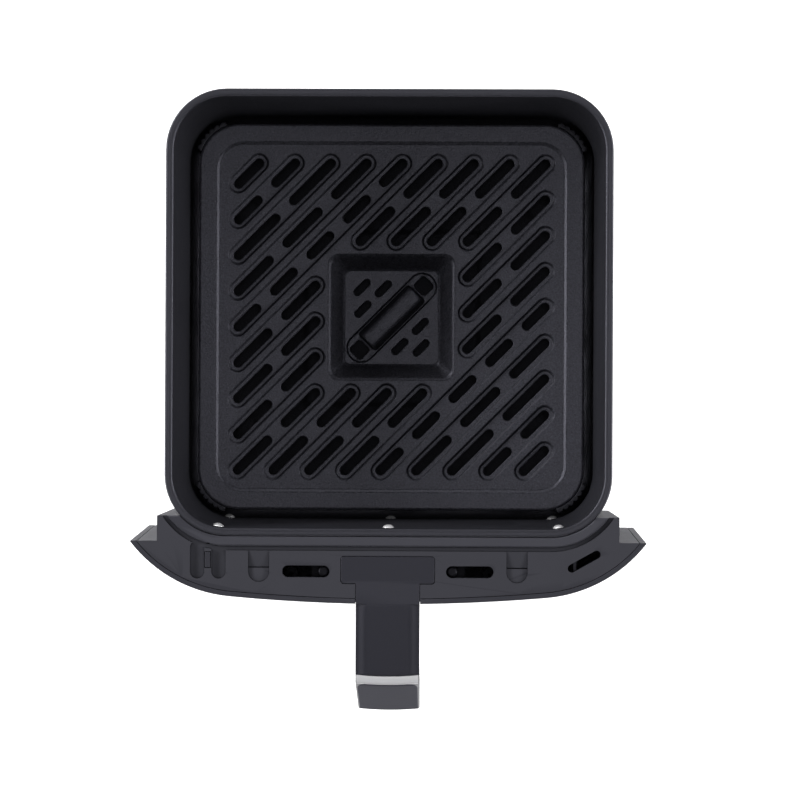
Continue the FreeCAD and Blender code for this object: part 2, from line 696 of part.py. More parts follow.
def is_hand_edge(edge):
    """The long side edges that the fingers close on, under the arm and behind the grip."""
    centre = edge.CenterOfMass
    if edge.BoundBox.XLength > 0.01 or centre.y > PANEL_FRONT_Y:
        return False
    behind = grip_y(centre.z, GRIP_DEPTH)
    return centre.z < ARM_UNDER_Z + 1 and centre.y > behind - 1.5


def make_insert():
    """The bright face of the grip, with a lip that turns over its top."""
    inner = INSERT_T / math.cos(math.atan2(INSERT_FRONT_Y - INSERT_FOOT_Y, DECK_Z - INSERT_FOOT_Z))
    lip_z = DECK_Z - INSERT_T
    corners = [
        (CAP_FRONT_Y - SLIP, DECK_Z),
        (INSERT_FRONT_Y, DECK_Z),
        (INSERT_FOOT_Y, INSERT_FOOT_Z),
        (grip_y(INSERT_FOOT_Z, inner), INSERT_FOOT_Z),
        (grip_y(lip_z, inner), lip_z),
        (CAP_FRONT_Y - SLIP, lip_z),
    ]
    insert = side_profile(corners, HANDLE_HALF - 0.2)
    brow = [e for e in insert.Edges if e.BoundBox.XLength > 5
            and abs(e.CenterOfMass.y - INSERT_FRONT_Y) < 0.01]
    return one_solid(insert.makeFillet(BROW_RADIUS, brow))


def make_handle_screws():
    down = point(0, 0, -1)
    reach = HANDLE_SCREW_SEAT_Z - TAB_Z + 4
    return [pan_head_screw(point(x, HANDLE_SCREW_Y, HANDLE_SCREW_SEAT_Z), down, reach)
            for x in HANDLE_SCREW_XS]


# ---- crisper plate ---------------------------------------------------------------------------


def lane_ends(index):
    """The end centres of one slanting lane, on the square that bounds the pattern."""
    offset = (LANE_COUNT // 2 - index) * LANE_PITCH
    if offset >= 0:
        return (-LANE_END, -LANE_END + offset), (LANE_END - offset, LANE_END)
    return (-LANE_END - offset, -LANE_END), (LANE_END, LANE_END + offset)


def lane_pieces(index):
    """The whole lane, or its two halves where the middle of the plate interrupts it."""
    start, end = lane_ends(index)
    if index not in SPLIT_LANES:
        return [(start, end)]
    reach = LANE_END - INNER_END
    left = (start, (start[0] + reach, start[1] + reach))
    right = ((end[0] - reach, end[1] - reach), end)
    return [left, right]


def slots_in(start, end, count):
    """Equal through-slots along a lane, given as their end centres."""
    reach = end[0] - start[0]
    length = (reach - (count - 1) * SLOT_BRIDGE) / count
    slots = []
    for number in range(count):
        near = number * (length + SLOT_BRIDGE)
        first = (start[0] + near, start[1] + near)
        slots.append((first, (first[0] + length, first[1] + length)))
    return slots


def lane_tool(start, end):
    """A shallow stadium trench whose upper edge is rounded over."""
    width = LANE_HALF_WIDTH
    floor_z = FIELD_Z - LANE_DEPTH
    levels = [(width - 0.15, floor_z), (width - 0.05, FIELD_Z - 0.4),
              (width + 0.15, FIELD_Z - 0.12), (width + 0.55, FIELD_Z + 0.02)]
    return capsule_stack(start, end, levels)


def through_slot(start, end, radius, top_z):
    levels = [(radius, top_z - 10.0), (radius, top_z - 0.4), (radius + 0.45, top_z + 0.05)]
    return capsule_stack(start, end, levels)


def plate_blank():
    """A plate whose raised border slopes down to the sunk field, with the well's cup below."""
    slab = rounded_block(PLATE_HALF, PLATE_HALF, PLATE_CORNER, PLATE_UNDER_Z, BORDER_Z)
    rim = [edge for edge in slab.Edges if edge.BoundBox.ZMin > BORDER_Z - 0.01]
    slab = slab.makeFillet(BORDER_EDGE, rim)
    over = 0.2
    spread = over * STEP_WIDTH / (BORDER_Z - FIELD_Z)
    field = tapered_square((STEP_HALF - STEP_WIDTH, STEP_CORNER - STEP_WIDTH, FIELD_Z),
                           (STEP_HALF + spread, STEP_CORNER + spread, BORDER_Z + over))
    under = rounded_block(STEP_HALF, STEP_HALF, STEP_CORNER, 0, FIELD_Z - FIELD_T)
    well = tapered_square((WELL_FLOOR_HALF + 3, 5.0, WELL_FLOOR_Z - WELL_T),
                          (WELL_TOP_HALF + 4, 8.0, FIELD_Z - 1))
    return slab.cut(field).cut(under).fuse(well)


def well_tool():
    """The square sunk well in the middle, with its upper edge eased."""
    neck = (WELL_TOP_HALF, WELL_CORNER, FIELD_Z - WELL_LIP_DEPTH)
    lip = tapered_square(neck, (WELL_TOP_HALF + 0.7, WELL_CORNER + 0.7, FIELD_Z + 0.1))
    walls = tapered_square((WELL_FLOOR_HALF, WELL_FLOOR_CORNER, WELL_FLOOR_Z), neck)
    return walls.fuse(lip)


def finger_bar():
    """The raised bar that two fingers pinch, lying along X before it is turned."""
    base_z = WELL_FLOOR_Z - TROUGH_DEPTH - 0.5
    wires = [rounded_wire(*BAR_BASE, 2.0, base_z),
             rounded_wire(*BAR_TOP, 2.0, WELL_FLOOR_Z + BAR_RISE)]
    bar = Part.makeLoft(wires, True, True)
    top = [e for e in bar.Edges if e.BoundBox.ZMin > WELL_FLOOR_Z + BAR_RISE - 0.01]
    return bar.makeFillet(0.8, top)


def finger_hole(side):
    low, high = FINGER_HOLE_X
    hole = rounded_block((high - low) / 2, FINGER_HOLE_HALF, 2.3, 0, WELL_FLOOR_Z + 5)
    hole.translate(point(side * (low + high) / 2, 0, 0))
    return hole


def turned(shape):
    """Turned from X to the diagonal that runs front left to back right."""
    shape.rotate(point(0, 0, 0), point(0, 0, 1), 45)
    return shape


def make_plate():
    plate = plate_blank().cut(well_tool())
    reach = TROUGH_HALF_LENGTH - TROUGH_RADIUS
    levels = [(TROUGH_RADIUS - 0.8, WELL_FLOOR_Z - TROUGH_DEPTH), (TROUGH_RADIUS, WELL_FLOOR_Z)]
    trough = capsule_stack((-reach, 0), (reach, 0), levels)
    plate = plate.cut(turned(trough)).fuse(turned(finger_bar()))
    for side in (-1, 1):
        plate = plate.cut(turned(finger_hole(side)))
    lanes = []
    slots = []
    for index in range(LANE_COUNT):
        for start, end in lane_pieces(index):
            lanes.append(lane_tool(start, end))
            for slot in slots_in(start, end, SLOTS_PER_LANE[index]):
                slots.append(through_slot(*slot, PLATE_SLOT_RADIUS, FIELD_Z - LANE_DEPTH))
    for x, y in DRAIN_CENTRES:
        for side in (-1, 1):
            start = (side * x - DRAIN_REACH, side * y - DRAIN_REACH)
            end = (side * x + DRAIN_REACH, side * y + DRAIN_REACH)
            slots.append(through_slot(start, end, DRAIN_RADIUS, WELL_FLOOR_Z))
    plate = plate.cut(Part.makeCompound(lanes))
    plate = plate.cut(Part.makeCompound(slots))
    return one_solid(plate)


# ---- silicone corner bumpers -----------------------------------------------------------------


def make_bumper(quarter, plate):
    """A ribbed silicone corner that grips the plate's edge and stands on the pan's floor."""
    centre = PLATE_HALF - PLATE_CORNER
    low_z = FLOOR_Z + FOOT_GAP
    grip_height = BUMPER_TOP_Z - BUMPER_FOOT_TOP_Z
    spread = 2 * BUMPER_SPREAD
    foot = Part.makeCylinder(BUMPER_FOOT_RADIUS, BUMPER_FOOT_TOP_Z - low_z,
                             point(0, 0, low_z), point(0, 0, 1), spread)
    grip = Part.makeCylinder(BUMPER_OUTER_RADIUS - BUMPER_RIB_RADIUS * 0.6, grip_height,
                             point(0, 0, BUMPER_FOOT_TOP_Z), point(0, 0, 1), spread)
    core = Part.makeCylinder(BUMPER_INNER_RADIUS, 60, point(0, 0, 0))
    body = foot.fuse(grip).cut(core)
    ring = BUMPER_OUTER_RADIUS - BUMPER_RIB_RADIUS
    for number in range(BUMPER_RIBS):
        turn = math.radians(spread * (number + 0.5) / BUMPER_RIBS)
        rib_place = point(ring * math.cos(turn), ring * math.sin(turn), BUMPER_FOOT_TOP_Z)
        body = body.fuse(Part.makeCylinder(BUMPER_RIB_RADIUS, grip_height, rib_place))
    body.rotate(point(0, 0, 0), point(0, 0, 1), 45 - BUMPER_SPREAD)
    body.translate(point(centre, centre, 0))
    shelf = rounded_block(PLATE_HALF + SLIP, PLATE_HALF + SLIP, PLATE_CORNER + SLIP,
                          PLATE_UNDER_Z - SLIP, 60)
    body = body.cut(shelf)
    body.rotate(point(0, 0, 0), point(0, 0, 1), 90 * quarter)
    return one_solid(body.cut(plate))


def main():
    os.makedirs("parts", exist_ok=True)
    write("basket_pan", make_pan())
    rivets = [make_rivet(x, z) for x in RIVET_XS for z in RIVET_ZS]
    write("wall_rivets", Part.makeCompound(rivets))
    write("front_bracket", make_bracket())
    write("panel_frame", make_frame())
    write("panel_skin", make_skin())
    write("rim_collar", make_collar())
    write("panel_base", make_panel_base())
    write("base_screws", Part.makeCompound(make_base_screws()))
    write("frame_screws", Part.makeCompound(make_frame_screws()))
    write("switch_tab", make_switch_tab())
    write("deck_stud_left", make_stud(-1))
    write("deck_stud_right", make_stud(1))
    write("handle_root_cover", make_root_cover())
    write("handle_cap", make_handle_cap())
    write("handle_body", make_handle_body())
    write("handle_insert", make_insert())
    write("handle_screws", Part.makeCompound(make_handle_screws()))
    plate = make_plate()
    write("crisper_plate", plate)
    corners = ("rear_right", "rear_left", "front_left", "front_right")
    for quarter, corner in enumerate(corners):
        write(f"corner_bumper_{corner}", make_bumper(quarter, plate))


main()
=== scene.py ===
import math

import bmesh
import bpy
import numpy as np
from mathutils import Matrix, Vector
from mathutils.geometry import delaunay_2d_cdt


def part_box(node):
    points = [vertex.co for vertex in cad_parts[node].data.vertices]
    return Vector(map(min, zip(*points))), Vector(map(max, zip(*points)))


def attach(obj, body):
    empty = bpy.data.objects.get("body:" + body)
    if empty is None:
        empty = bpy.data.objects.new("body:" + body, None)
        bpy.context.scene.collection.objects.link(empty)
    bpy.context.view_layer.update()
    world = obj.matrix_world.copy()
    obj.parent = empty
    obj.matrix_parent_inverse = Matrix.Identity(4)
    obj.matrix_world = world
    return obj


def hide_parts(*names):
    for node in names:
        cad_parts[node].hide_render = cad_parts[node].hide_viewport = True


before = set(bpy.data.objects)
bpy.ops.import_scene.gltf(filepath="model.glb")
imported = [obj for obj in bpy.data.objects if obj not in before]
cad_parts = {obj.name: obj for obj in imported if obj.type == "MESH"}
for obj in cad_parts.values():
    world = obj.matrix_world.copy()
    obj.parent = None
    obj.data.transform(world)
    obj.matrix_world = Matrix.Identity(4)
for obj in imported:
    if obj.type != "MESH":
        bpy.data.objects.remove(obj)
bpy.context.view_layer.update()

# Lengths are in millimetres until a mesh is made; MM turns them into metres.
MM = 0.001

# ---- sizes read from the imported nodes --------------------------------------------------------
PAN_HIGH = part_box("basket_pan")[1] / MM
PLATE_LOW, PLATE_HIGH = (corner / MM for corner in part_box("crisper_plate"))
INSERT_LOW, INSERT_HIGH = (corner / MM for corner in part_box("handle_insert"))
RIM_Z = PAN_HIGH.z
RIM_HALF = PAN_HIGH.x
BORDER_Z = PLATE_HIGH.z
FIELD_Z = BORDER_Z - 1.2
PLATE_HALF = PLATE_HIGH.x
DECK_Z = INSERT_HIGH.z

# ---- the pan's section, as in the CAD model --------------------------------------------------
CORNER_CENTRE = 90.5
BEAD_WIDTH = 4.5
BEAD_HEIGHT = 4.6
WALL = 1.4
WALL_LEAN = 0.02
FLOOR_FILLET = 8.0
FLOOR_RINGS = 78
BUMPS = [(x, y) for x in (-87.0, 87.0) for y in (-64.0, 64.0)]
BUMP_RADIUS = 8.0
BUMP_RISE = 1.6
BUMP_SLOPE = 2.8
STAMP_HALF = 52.0
STAMP_RISE = 1.2
STAMP_SLOPE = 2.0
EMBOSS_XS = (-70.0, 70.0)
EMBOSS_Z = 52.0
EMBOSS_HALF_WIDTH = 4.6
EMBOSS_HALF_HEIGHT = 15.0
EMBOSS_DEPTH = 0.9
RIVET_XS = (-95.0, 0.0, 95.0)
RIVET_ZS = (92.4, 14.4)

# ---- the crisper plate, as in the CAD model --------------------------------------------------
STEP_HALF = 102.7
STEP_CORNER = 16.0
PLATE_CORNER = 23.5
BORDER_UNDER_Z = 19.6
FIELD_UNDER_Z = 20.2
LANE_COUNT = 17
LANE_PITCH = 21.0
LANE_END = 90.0
INNER_END = 44.6
LANE_HALF_WIDTH = 5.5
LANE_DEPTH = 1.5
SLOTS_PER_LANE = (1, 2, 2, 3, 5, 2, 2, 2, 2, 2, 2, 2, 5, 3, 2, 2, 1)
SPLIT_LANES = range(5, 12)
SLOT_BRIDGE = 10.7
SLOT_RADIUS = 2.75
WELL_TOP_HALF = 35.2
WELL_FLOOR_HALF = 27.5
WELL_FLOOR_Z = 13.4
WELL_CORNER = 5.5
WELL_CORNER_OPENING = 0.26
TROUGH_REACH = 25.35
TROUGH_RADIUS = 8.7
TROUGH_DEPTH = 2.4
BAR_RISE = 5.0
BAR_CORNER = 2.2
GRIP_HOLE_HALF_SIZES = (4.5, 4.7)
GRIP_HOLE_CORNER = 2.3
GRIP_HOLE_AWAY = 26.7
DRAIN_CENTRES = ((-17.5, 17.8), (-5.0, 17.0), (-17.0, 5.0))
DRAIN_RADIUS = 2.1
DRAIN_REACH = 2.7

# ---- the silicone bumpers, as in the CAD model -----------------------------------------------
BUMPER_CENTRE = PLATE_HALF - PLATE_CORNER
BUMPER_OUTER_RADIUS = 26.7
BUMPER_FOOT_RADIUS = 21.0
BUMPER_INNER_RADIUS = 16.0
BUMPER_SPREAD = 26.5
BUMPER_FOOT_TOP_Z = 10.4
BUMPER_RIBS = 6
RIB_DEPTH = 1.5
FOOT_RIB_DEPTH = 0.4


class Mesher:
    """Gathers rings of points and the faces that join them."""

    def __init__(self):
        self.points = []
        self.faces = []

    def ring(self, loop, z=None):
        """Adds a closed loop of (x, y) points at a height, or of (x, y, z) points."""
        first = len(self.points)
        self.points += [tuple(place) if z is None else (place[0], place[1], z) for place in loop]
        return list(range(first, len(self.points)))

    def bridge(self, low, high):
        for here in range(len(low)):
            after = (here + 1) % len(low)
            self.faces.append((low[here], low[after], high[after], high[here]))

    def tower(self, rings):
        for low, high in zip(rings, rings[1:]):
            self.bridge(low, high)

    def cap(self, ring):
        """Closes a small ring with triangles about its middle."""
        places = [Vector(self.points[index]) for index in ring]
        middle = sum(places, Vector((0, 0, 0))) / len(places)
        self.points.append(tuple(middle))
        centre = len(self.points) - 1
        for here in range(len(ring)):
            self.faces.append((ring[here], ring[(here + 1) % len(ring)], centre))

    def fill(self, outer, holes=()):
        """Fills the flat region between an outer ring and the rings of its holes."""
        rings = [outer, *holes]
        index = [place for ring in rings for place in ring]
        flat = [Vector(self.points[place][:2]) for place in index]
        edges = []
        start = 0
        for ring in rings:
            edges += [(start + i, start + (i + 1) % len(ring)) for i in range(len(ring))]
            start += len(ring)
        verts, _, triangles, origins = delaunay_2d_cdt(flat, edges, [], 1, 1e-6)[:4]
        ends = np.array([(*flat[a], *flat[b]) for a, b in edges])
        for triangle in triangles:
            centre = sum((verts[v] for v in triangle), Vector((0, 0))) / 3
            if crossings(ends, *centre) % 2:
                self.faces.append(tuple(index[origins[v][0]] for v in triangle))


def crossings(ends, x, y):
    """How many of the segments a ray from (x, y) to the right crosses."""
    spans = ends[(ends[:, 1] > y) != (ends[:, 3] > y)]
    x0, y0, x1, y1 = spans.T
    return int(np.count_nonzero(x < (x1 - x0) * (y - y0) / (y1 - y0) + x0))


def stadium(start, end, radius, steps=12):
    along = math.atan2(end[1] - start[1], end[0] - start[0])
    loop = []
    for centre, first in ((end, along - math.pi / 2), (start, along + math.pi / 2)):
        for step in range(steps + 1):
            turn = first + math.pi * step / steps
            loop.append((centre[0] + radius * math.cos(turn), centre[1] + radius * math.sin(turn)))
    return loop


def part_way(start, end, part):
    return (start[0] + (end[0] - start[0]) * part, start[1] + (end[1] - start[1]) * part)


def square(half_x, half_y, radius, steps=10, side=1):
    """A rectangle with round corners, with `side` spans along each straight side."""
    loop = []
    corners = ((1, 1), (-1, 1), (-1, -1), (1, -1))
    for quarter, (side_x, side_y) in enumerate(corners):
        centre_x = side_x * (half_x - radius)
        centre_y = side_y * (half_y - radius)
        for step in range(steps + 1):
            turn = math.pi / 2 * (quarter + step / steps)
            loop.append((centre_x + radius * math.cos(turn), centre_y + radius * math.sin(turn)))
        next_x, next_y = corners[(quarter + 1) % 4]
        after_turn = math.pi / 2 * (quarter + 1)
        after = (next_x * (half_x - radius) + radius * math.cos(after_turn),
                 next_y * (half_y - radius) + radius * math.sin(after_turn))
        last = loop[-1]
        for step in range(1, side):
            loop.append(part_way(last, after, step / side))
    return loop


def turned(loop, degrees):
    turn = math.radians(degrees)
    return [(x * math.cos(turn) - y * math.sin(turn), x * math.sin(turn) + y * math.cos(turn))
            for x, y in loop]


def smooth_step(value):
    value = min(max(value, 0.0), 1.0)
    return value * value * (3 - 2 * value)


# ---- pieces ----------------------------------------------------------------------------------


def finish_piece(piece, body, nodes, material):
    piece.data.materials.clear()
    piece.data.materials.append(material)
    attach(piece, body)
    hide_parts(*nodes)
    return piece


def make_piece(name, mesher, body, nodes, material, sharp_degrees=50):
    mesh = bpy.data.meshes.new(name)
    mesh.from_pydata([(x * MM, y * MM, z * MM) for x, y, z in mesher.points], [], mesher.faces)
    bm = bmesh.new()
    bm.from_mesh(mesh)
    bmesh.ops.remove_doubles(bm, verts=bm.verts, dist=1e-6)
    bmesh.ops.recalc_face_normals(bm, faces=bm.faces)
    bm.to_mesh(mesh)
    bm.free()
    mesh.shade_smooth()
    mesh.set_sharp_from_angle(angle=math.radians(sharp_degrees))
    piece = bpy.data.objects.new(name, mesh)
    bpy.context.scene.collection.objects.link(piece)
    weigh_normals(piece)
    return finish_piece(piece, body, nodes, material)


def weigh_normals(piece):
    modifier = piece.modifiers.new("weigh_normals", "WEIGHTED_NORMAL")
    modifier.keep_sharp = True
    modifier.weight = 60


def softened(name, node, body, material, width, segments=3, degrees=28):
    """A copy of a CAD node, in its place, with its edges rounded as a moulding's are."""
    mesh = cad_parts[node].data.copy()
    mesh.name = name
    if mesh.has_custom_normals:
        mesh.attributes.remove(mesh.attributes["custom_normal"])
    bm = bmesh.new()
    bm.from_mesh(mesh)
    bmesh.ops.remove_doubles(bm, verts=bm.verts, dist=2e-6)
    bmesh.ops.dissolve_limit(bm, angle_limit=math.radians(0.3), verts=bm.verts, edges=bm.edges)
    for edge in bm.edges:
        edge.smooth = True
    bm.to_mesh(mesh)
    bm.free()
    mesh.shade_smooth()
    piece = bpy.data.objects.new(name, mesh)
    bpy.context.scene.collection.objects.link(piece)
    bevel = piece.modifiers.new("round_edges", "BEVEL")
    bevel.width = width * MM
    bevel.segments = segments
    bevel.limit_method = "ANGLE"
    bevel.angle_limit = math.radians(degrees)
    bevel.use_clamp_overlap = True
    bevel.miter_outer = "MITER_ARC"
    weigh_normals(piece)
    return finish_piece(piece, body, [node], material)


# ---- materials -------------------------------------------------------------------------------

BROAD_SCALE = 38.0
DEEPEST_TINT = 0.84
# Reach and limits of the ambient occlusion that paints shade into narrow gaps.
GAP_REACH = 0.0013
OPEN = 0.78
SHUT = 0.38


def node_maker(material):
    tree = material.node_tree

    def add(kind, **values):
        node = tree.nodes.new(kind)
        for name, value in values.items():
            if name.startswith("in_"):
                node.inputs[name[3:].replace("_", " ")].default_value = value
            else:
                setattr(node, name, value)
        return node

    return add, tree.links.new


def moulded(name, dark, light, roughness, grain, depth, metallic=0.0, specular=0.5, wear=0.25,
            swell=0.0, fleck=0.0, crevice=0.6, hollow=0.0, contrast=0.2, patchy=0.45,
            uneven=0.06, alone=True):
    """A fine-grained finish: mottled colour, uneven gloss, grain in relief, rubbed edges.

    wear lightens edges and crevice darkens inner corners as painted shade, fleck adds small light
    specks, hollow darkens narrow gaps as painted shade found by ambient occlusion and lowers the
    specular level there (alone: those of the piece itself only), patchy is the share of the broad
    mottle, and swell is the height of slow waves in the surface.
    """
    material = bpy.data.materials.new(name)
    material.use_nodes = True
    add, join = node_maker(material)
    shader = material.node_tree.nodes["Principled BSDF"]
    shader.inputs["Metallic"].default_value = metallic
    shader.inputs["Specular IOR Level"].default_value = specular
    tint = max(dark[0] / dark[2], DEEPEST_TINT)
    shader.inputs["Specular Tint"].default_value = (tint, tint, 1, 1)
    place = add("ShaderNodeTexCoord").outputs["Object"]

    def texture(kind, **values):
        node = add(kind, **values)
        join(place, node.inputs["Vector"])
        return node.outputs

    def ranged(value, low, high, to_low=0.0, to_high=1.0):
        node = add("ShaderNodeMapRange", in_From_Min=low, in_From_Max=high,
                   in_To_Min=to_low, in_To_Max=to_high)
        join(value, node.inputs["Value"])
        return node.outputs["Result"]

    def toward(colour, other, factor):
        node = add("ShaderNodeMix", data_type="RGBA")
        node.inputs["B"].default_value = (*other, 1)
        join(factor, node.inputs["Factor"])
        join(colour, node.inputs["A"])
        return node.outputs["Result"]

    fine = texture("ShaderNodeTexNoise", in_Scale=grain, in_Detail=3.0, in_Roughness=0.6)["Fac"]
    broad = texture("ShaderNodeTexNoise", in_Scale=BROAD_SCALE, in_Detail=4.0,
                    in_Roughness=0.55)["Fac"]
    share = add("ShaderNodeMath", operation="MULTIPLY")
    share.inputs[1].default_value = patchy
    join(broad, share.inputs[0])
    mottle = add("ShaderNodeMath", operation="MULTIPLY_ADD")
    mottle.inputs[1].default_value = 1 - patchy
    join(fine, mottle.inputs[0])
    join(share.outputs[0], mottle.inputs[2])
    mottle = mottle.outputs[0]

    shades = add("ShaderNodeMix", data_type="RGBA")
    shades.inputs["A"].default_value = (*dark, 1)
    shades.inputs["B"].default_value = (*light, 1)
    join(ranged(mottle, 0.5 - contrast, 0.5 + contrast), shades.inputs["Factor"])
    pointed = add("ShaderNodeNewGeometry").outputs["Pointiness"]
    rubbed = [min(1.0, part * 2.2 + 0.02) for part in light]
    colour = toward(shades.outputs["Result"], rubbed, ranged(pointed, 0.51, 0.62, 0.0, wear))
    # Painted shade: the colour darkens in inner corners and creases, where pointiness is low.
    painted_crease_shade = [part * 0.15 for part in dark]
    colour = toward(colour, painted_crease_shade, ranged(pointed, 0.49, 0.4, 0.0, crevice))
    if fleck:
        speck = texture("ShaderNodeTexVoronoi", in_Scale=grain * 0.55)["Distance"]
        sparkle = [min(1.0, part * 3 + 0.03) for part in light]
        colour = toward(colour, sparkle, ranged(speck, 0.16, 0.04, 0.0, fleck))
    # Painted shade in narrow gaps: where ambient occlusion finds them, the colour darkens and the
    # specular level drops.
    if hollow:
        openness = add("ShaderNodeAmbientOcclusion", samples=6, only_local=alone,
                       in_Distance=GAP_REACH).outputs["AO"]
        painted_gap_shade = [part * 0.1 for part in dark]
        colour = toward(colour, painted_gap_shade, ranged(openness, OPEN, SHUT, 0.0, hollow))
        join(ranged(openness, SHUT, OPEN, specular * (1 - hollow), specular),
             shader.inputs["Specular IOR Level"])
    join(colour, shader.inputs["Base Color"])
    join(ranged(mottle, 0.5 - contrast, 0.5 + contrast, roughness - uneven, roughness + uneven),
         shader.inputs["Roughness"])

    bump = add("ShaderNodeBump", in_Distance=depth)
    join(fine, bump.inputs["Height"])
    normal = bump.outputs["Normal"]
    if swell:
        waves = add("ShaderNodeBump", in_Distance=swell)
        join(broad, waves.inputs["Height"])
        join(normal, waves.inputs["Normal"])
        normal = waves.outputs["Normal"]
    join(normal, shader.inputs["Normal"])
    return material


def grey(level, blue=1.24):
    """A grey whose blue part is a little stronger."""
    return (level, level, level * blue)


PAN_COAT = moulded("pan_coat", grey(0.009), grey(0.014), 0.45, 1500.0, 0.00006, wear=0.5,
                   swell=0.0002)
# A darker, less glossy copy of the pan's coat for the floor under the plate: painted shade.
FLOOR_PAINTED_SHADE = moulded("pan_floor_painted_shade", grey(0.004), grey(0.009), 0.6, 1000.0, 0.0002,
                     specular=0.14, swell=0.0002)
PLATE_COAT = moulded("plate_coat", grey(0.003), grey(0.04), 0.38, 950.0, 0.00014, wear=0.5,
                     fleck=0.5, hollow=0.75, contrast=0.16, patchy=0.1, uneven=0.08,
                     specular=0.36)
FRAME_PLASTIC = moulded("frame_plastic", grey(0.012), grey(0.017), 0.64, 2600.0, 0.00004,
                        specular=0.45, hollow=0.8, alone=False)
SKIN_PLASTIC = moulded("skin_plastic", grey(0.013), grey(0.018), 0.64, 2600.0, 0.00004,
                       specular=0.45, hollow=0.8, alone=False)
COLLAR_PLASTIC = moulded("collar_plastic", grey(0.015), grey(0.021), 0.55, 2200.0, 0.00006,
                         hollow=0.6, alone=False)
HANDLE_PLASTIC = moulded("handle_plastic", grey(0.007, 1.4), grey(0.010, 1.4), 0.5, 3200.0,
                         0.00003, specular=0.42)
SILICONE = moulded("silicone", grey(0.005), grey(0.008), 0.6, 900.0, 0.00005, specular=0.3)
BLACK_STEEL = moulded("black_steel", grey(0.003), grey(0.006), 0.6, 1200.0, 0.00005, specular=0.2)
DARK_STEEL = moulded("dark_steel", grey(0.004), grey(0.007), 0.45, 1800.0, 0.00003,
                     metallic=0.1, specular=0.15)
ZINC = moulded("zinc", grey(0.4), grey(0.55), 0.35, 1500.0, 0.00003, metallic=0.9)
BRIGHT_METAL = moulded("bright_metal", grey(0.7, 1.02), grey(0.9, 1.02), 0.4, 2400.0, 0.00003,
                       metallic=0.6, wear=0.1)
SATIN_SILVER = moulded("satin_silver", grey(0.48, 1.03), grey(0.56, 1.03), 0.55, 1800.0, 0.00003,
                       metallic=0.75)
# A darker, duller copy of the satin silver, for the surround's sides and slope: painted shade.
SILVER_PAINTED_SHADE = moulded("silver_painted_shade", grey(0.2, 1.03), grey(0.26, 1.03), 0.7, 1800.0, 0.00003,
                        metallic=0.3, specular=0.2)
SATIN_GREY = moulded("satin_grey", grey(0.038), grey(0.05), 0.86, 2200.0, 0.00004,
                     specular=0.1, wear=0.1)


# ---- pan -------------------------------------------------------------------------------------


def wall_half(z):
    return RIM_HALF - BEAD_WIDTH - WALL_LEAN * (RIM_Z - z)


def arc(centre, radius, first, last, steps):
    """Points of an arc in a section, as (half width, z), between two angles in degrees."""
    points = []
    for step in range(steps + 1):
        turn = math.radians(first + (last - first) * step / steps)
        points.append((centre[0] + radius * math.cos(turn), centre[1] + radius * math.sin(turn)))
    return points


def floor_rise(x, y):
    """How far the pressed floor stands up at a place."""
    rise = 0.0
    for bump_x, bump_y in BUMPS:
        away = math.hypot(x - bump_x, y - bump_y)
        rise += BUMP_RISE * smooth_step((BUMP_RADIUS - away) / BUMP_SLOPE)
    edge = STAMP_HALF - max(abs(x), abs(y))
    return rise + STAMP_RISE * smooth_step(edge / STAMP_SLOPE)


def wall_bulge(x, z):
    """How far the front wall is pressed outwards by its two upright ovals."""
    bulge = 0.0
    for emboss_x in EMBOSS_XS:
        across = (x - emboss_x) / EMBOSS_HALF_WIDTH
        upward = (z - EMBOSS_Z) / EMBOSS_HALF_HEIGHT
        bulge += EMBOSS_DEPTH * smooth_step((1.0 - across ** 2 - upward ** 2) / 0.7)
    return bulge


def pan_ring(mesher, half, z, pressed=False):
    """One level of the wall, or one ring of the pressed floor."""
    least = 10.0
    if half > CORNER_CENTRE + least:
        radius = half - CORNER_CENTRE
    else:
        radius = max(half * least / (CORNER_CENTRE + least), 0.05)
    loop = square(half, half, radius, steps=14, side=52)
    places = []
    for x, y in loop:
        height = z + floor_rise(x, y) if pressed else z
        if y < -CORNER_CENTRE - 20 and abs(z - EMBOSS_Z) < 1.5 * EMBOSS_HALF_HEIGHT:
            y -= wall_bulge(x, z)
        places.append((x, y, height))
    return mesher.ring(places)


def pressed_floor(mesher, rim, half, z):
    """Rings from the rim of the floor in to its middle, following the pressed pattern."""
    rings = [rim]
    rings += [pan_ring(mesher, half * (1 - step / FLOOR_RINGS), z, pressed=True)
              for step in range(1, FLOOR_RINGS)]
    mesher.tower(rings)
    mesher.cap(rings[-1])


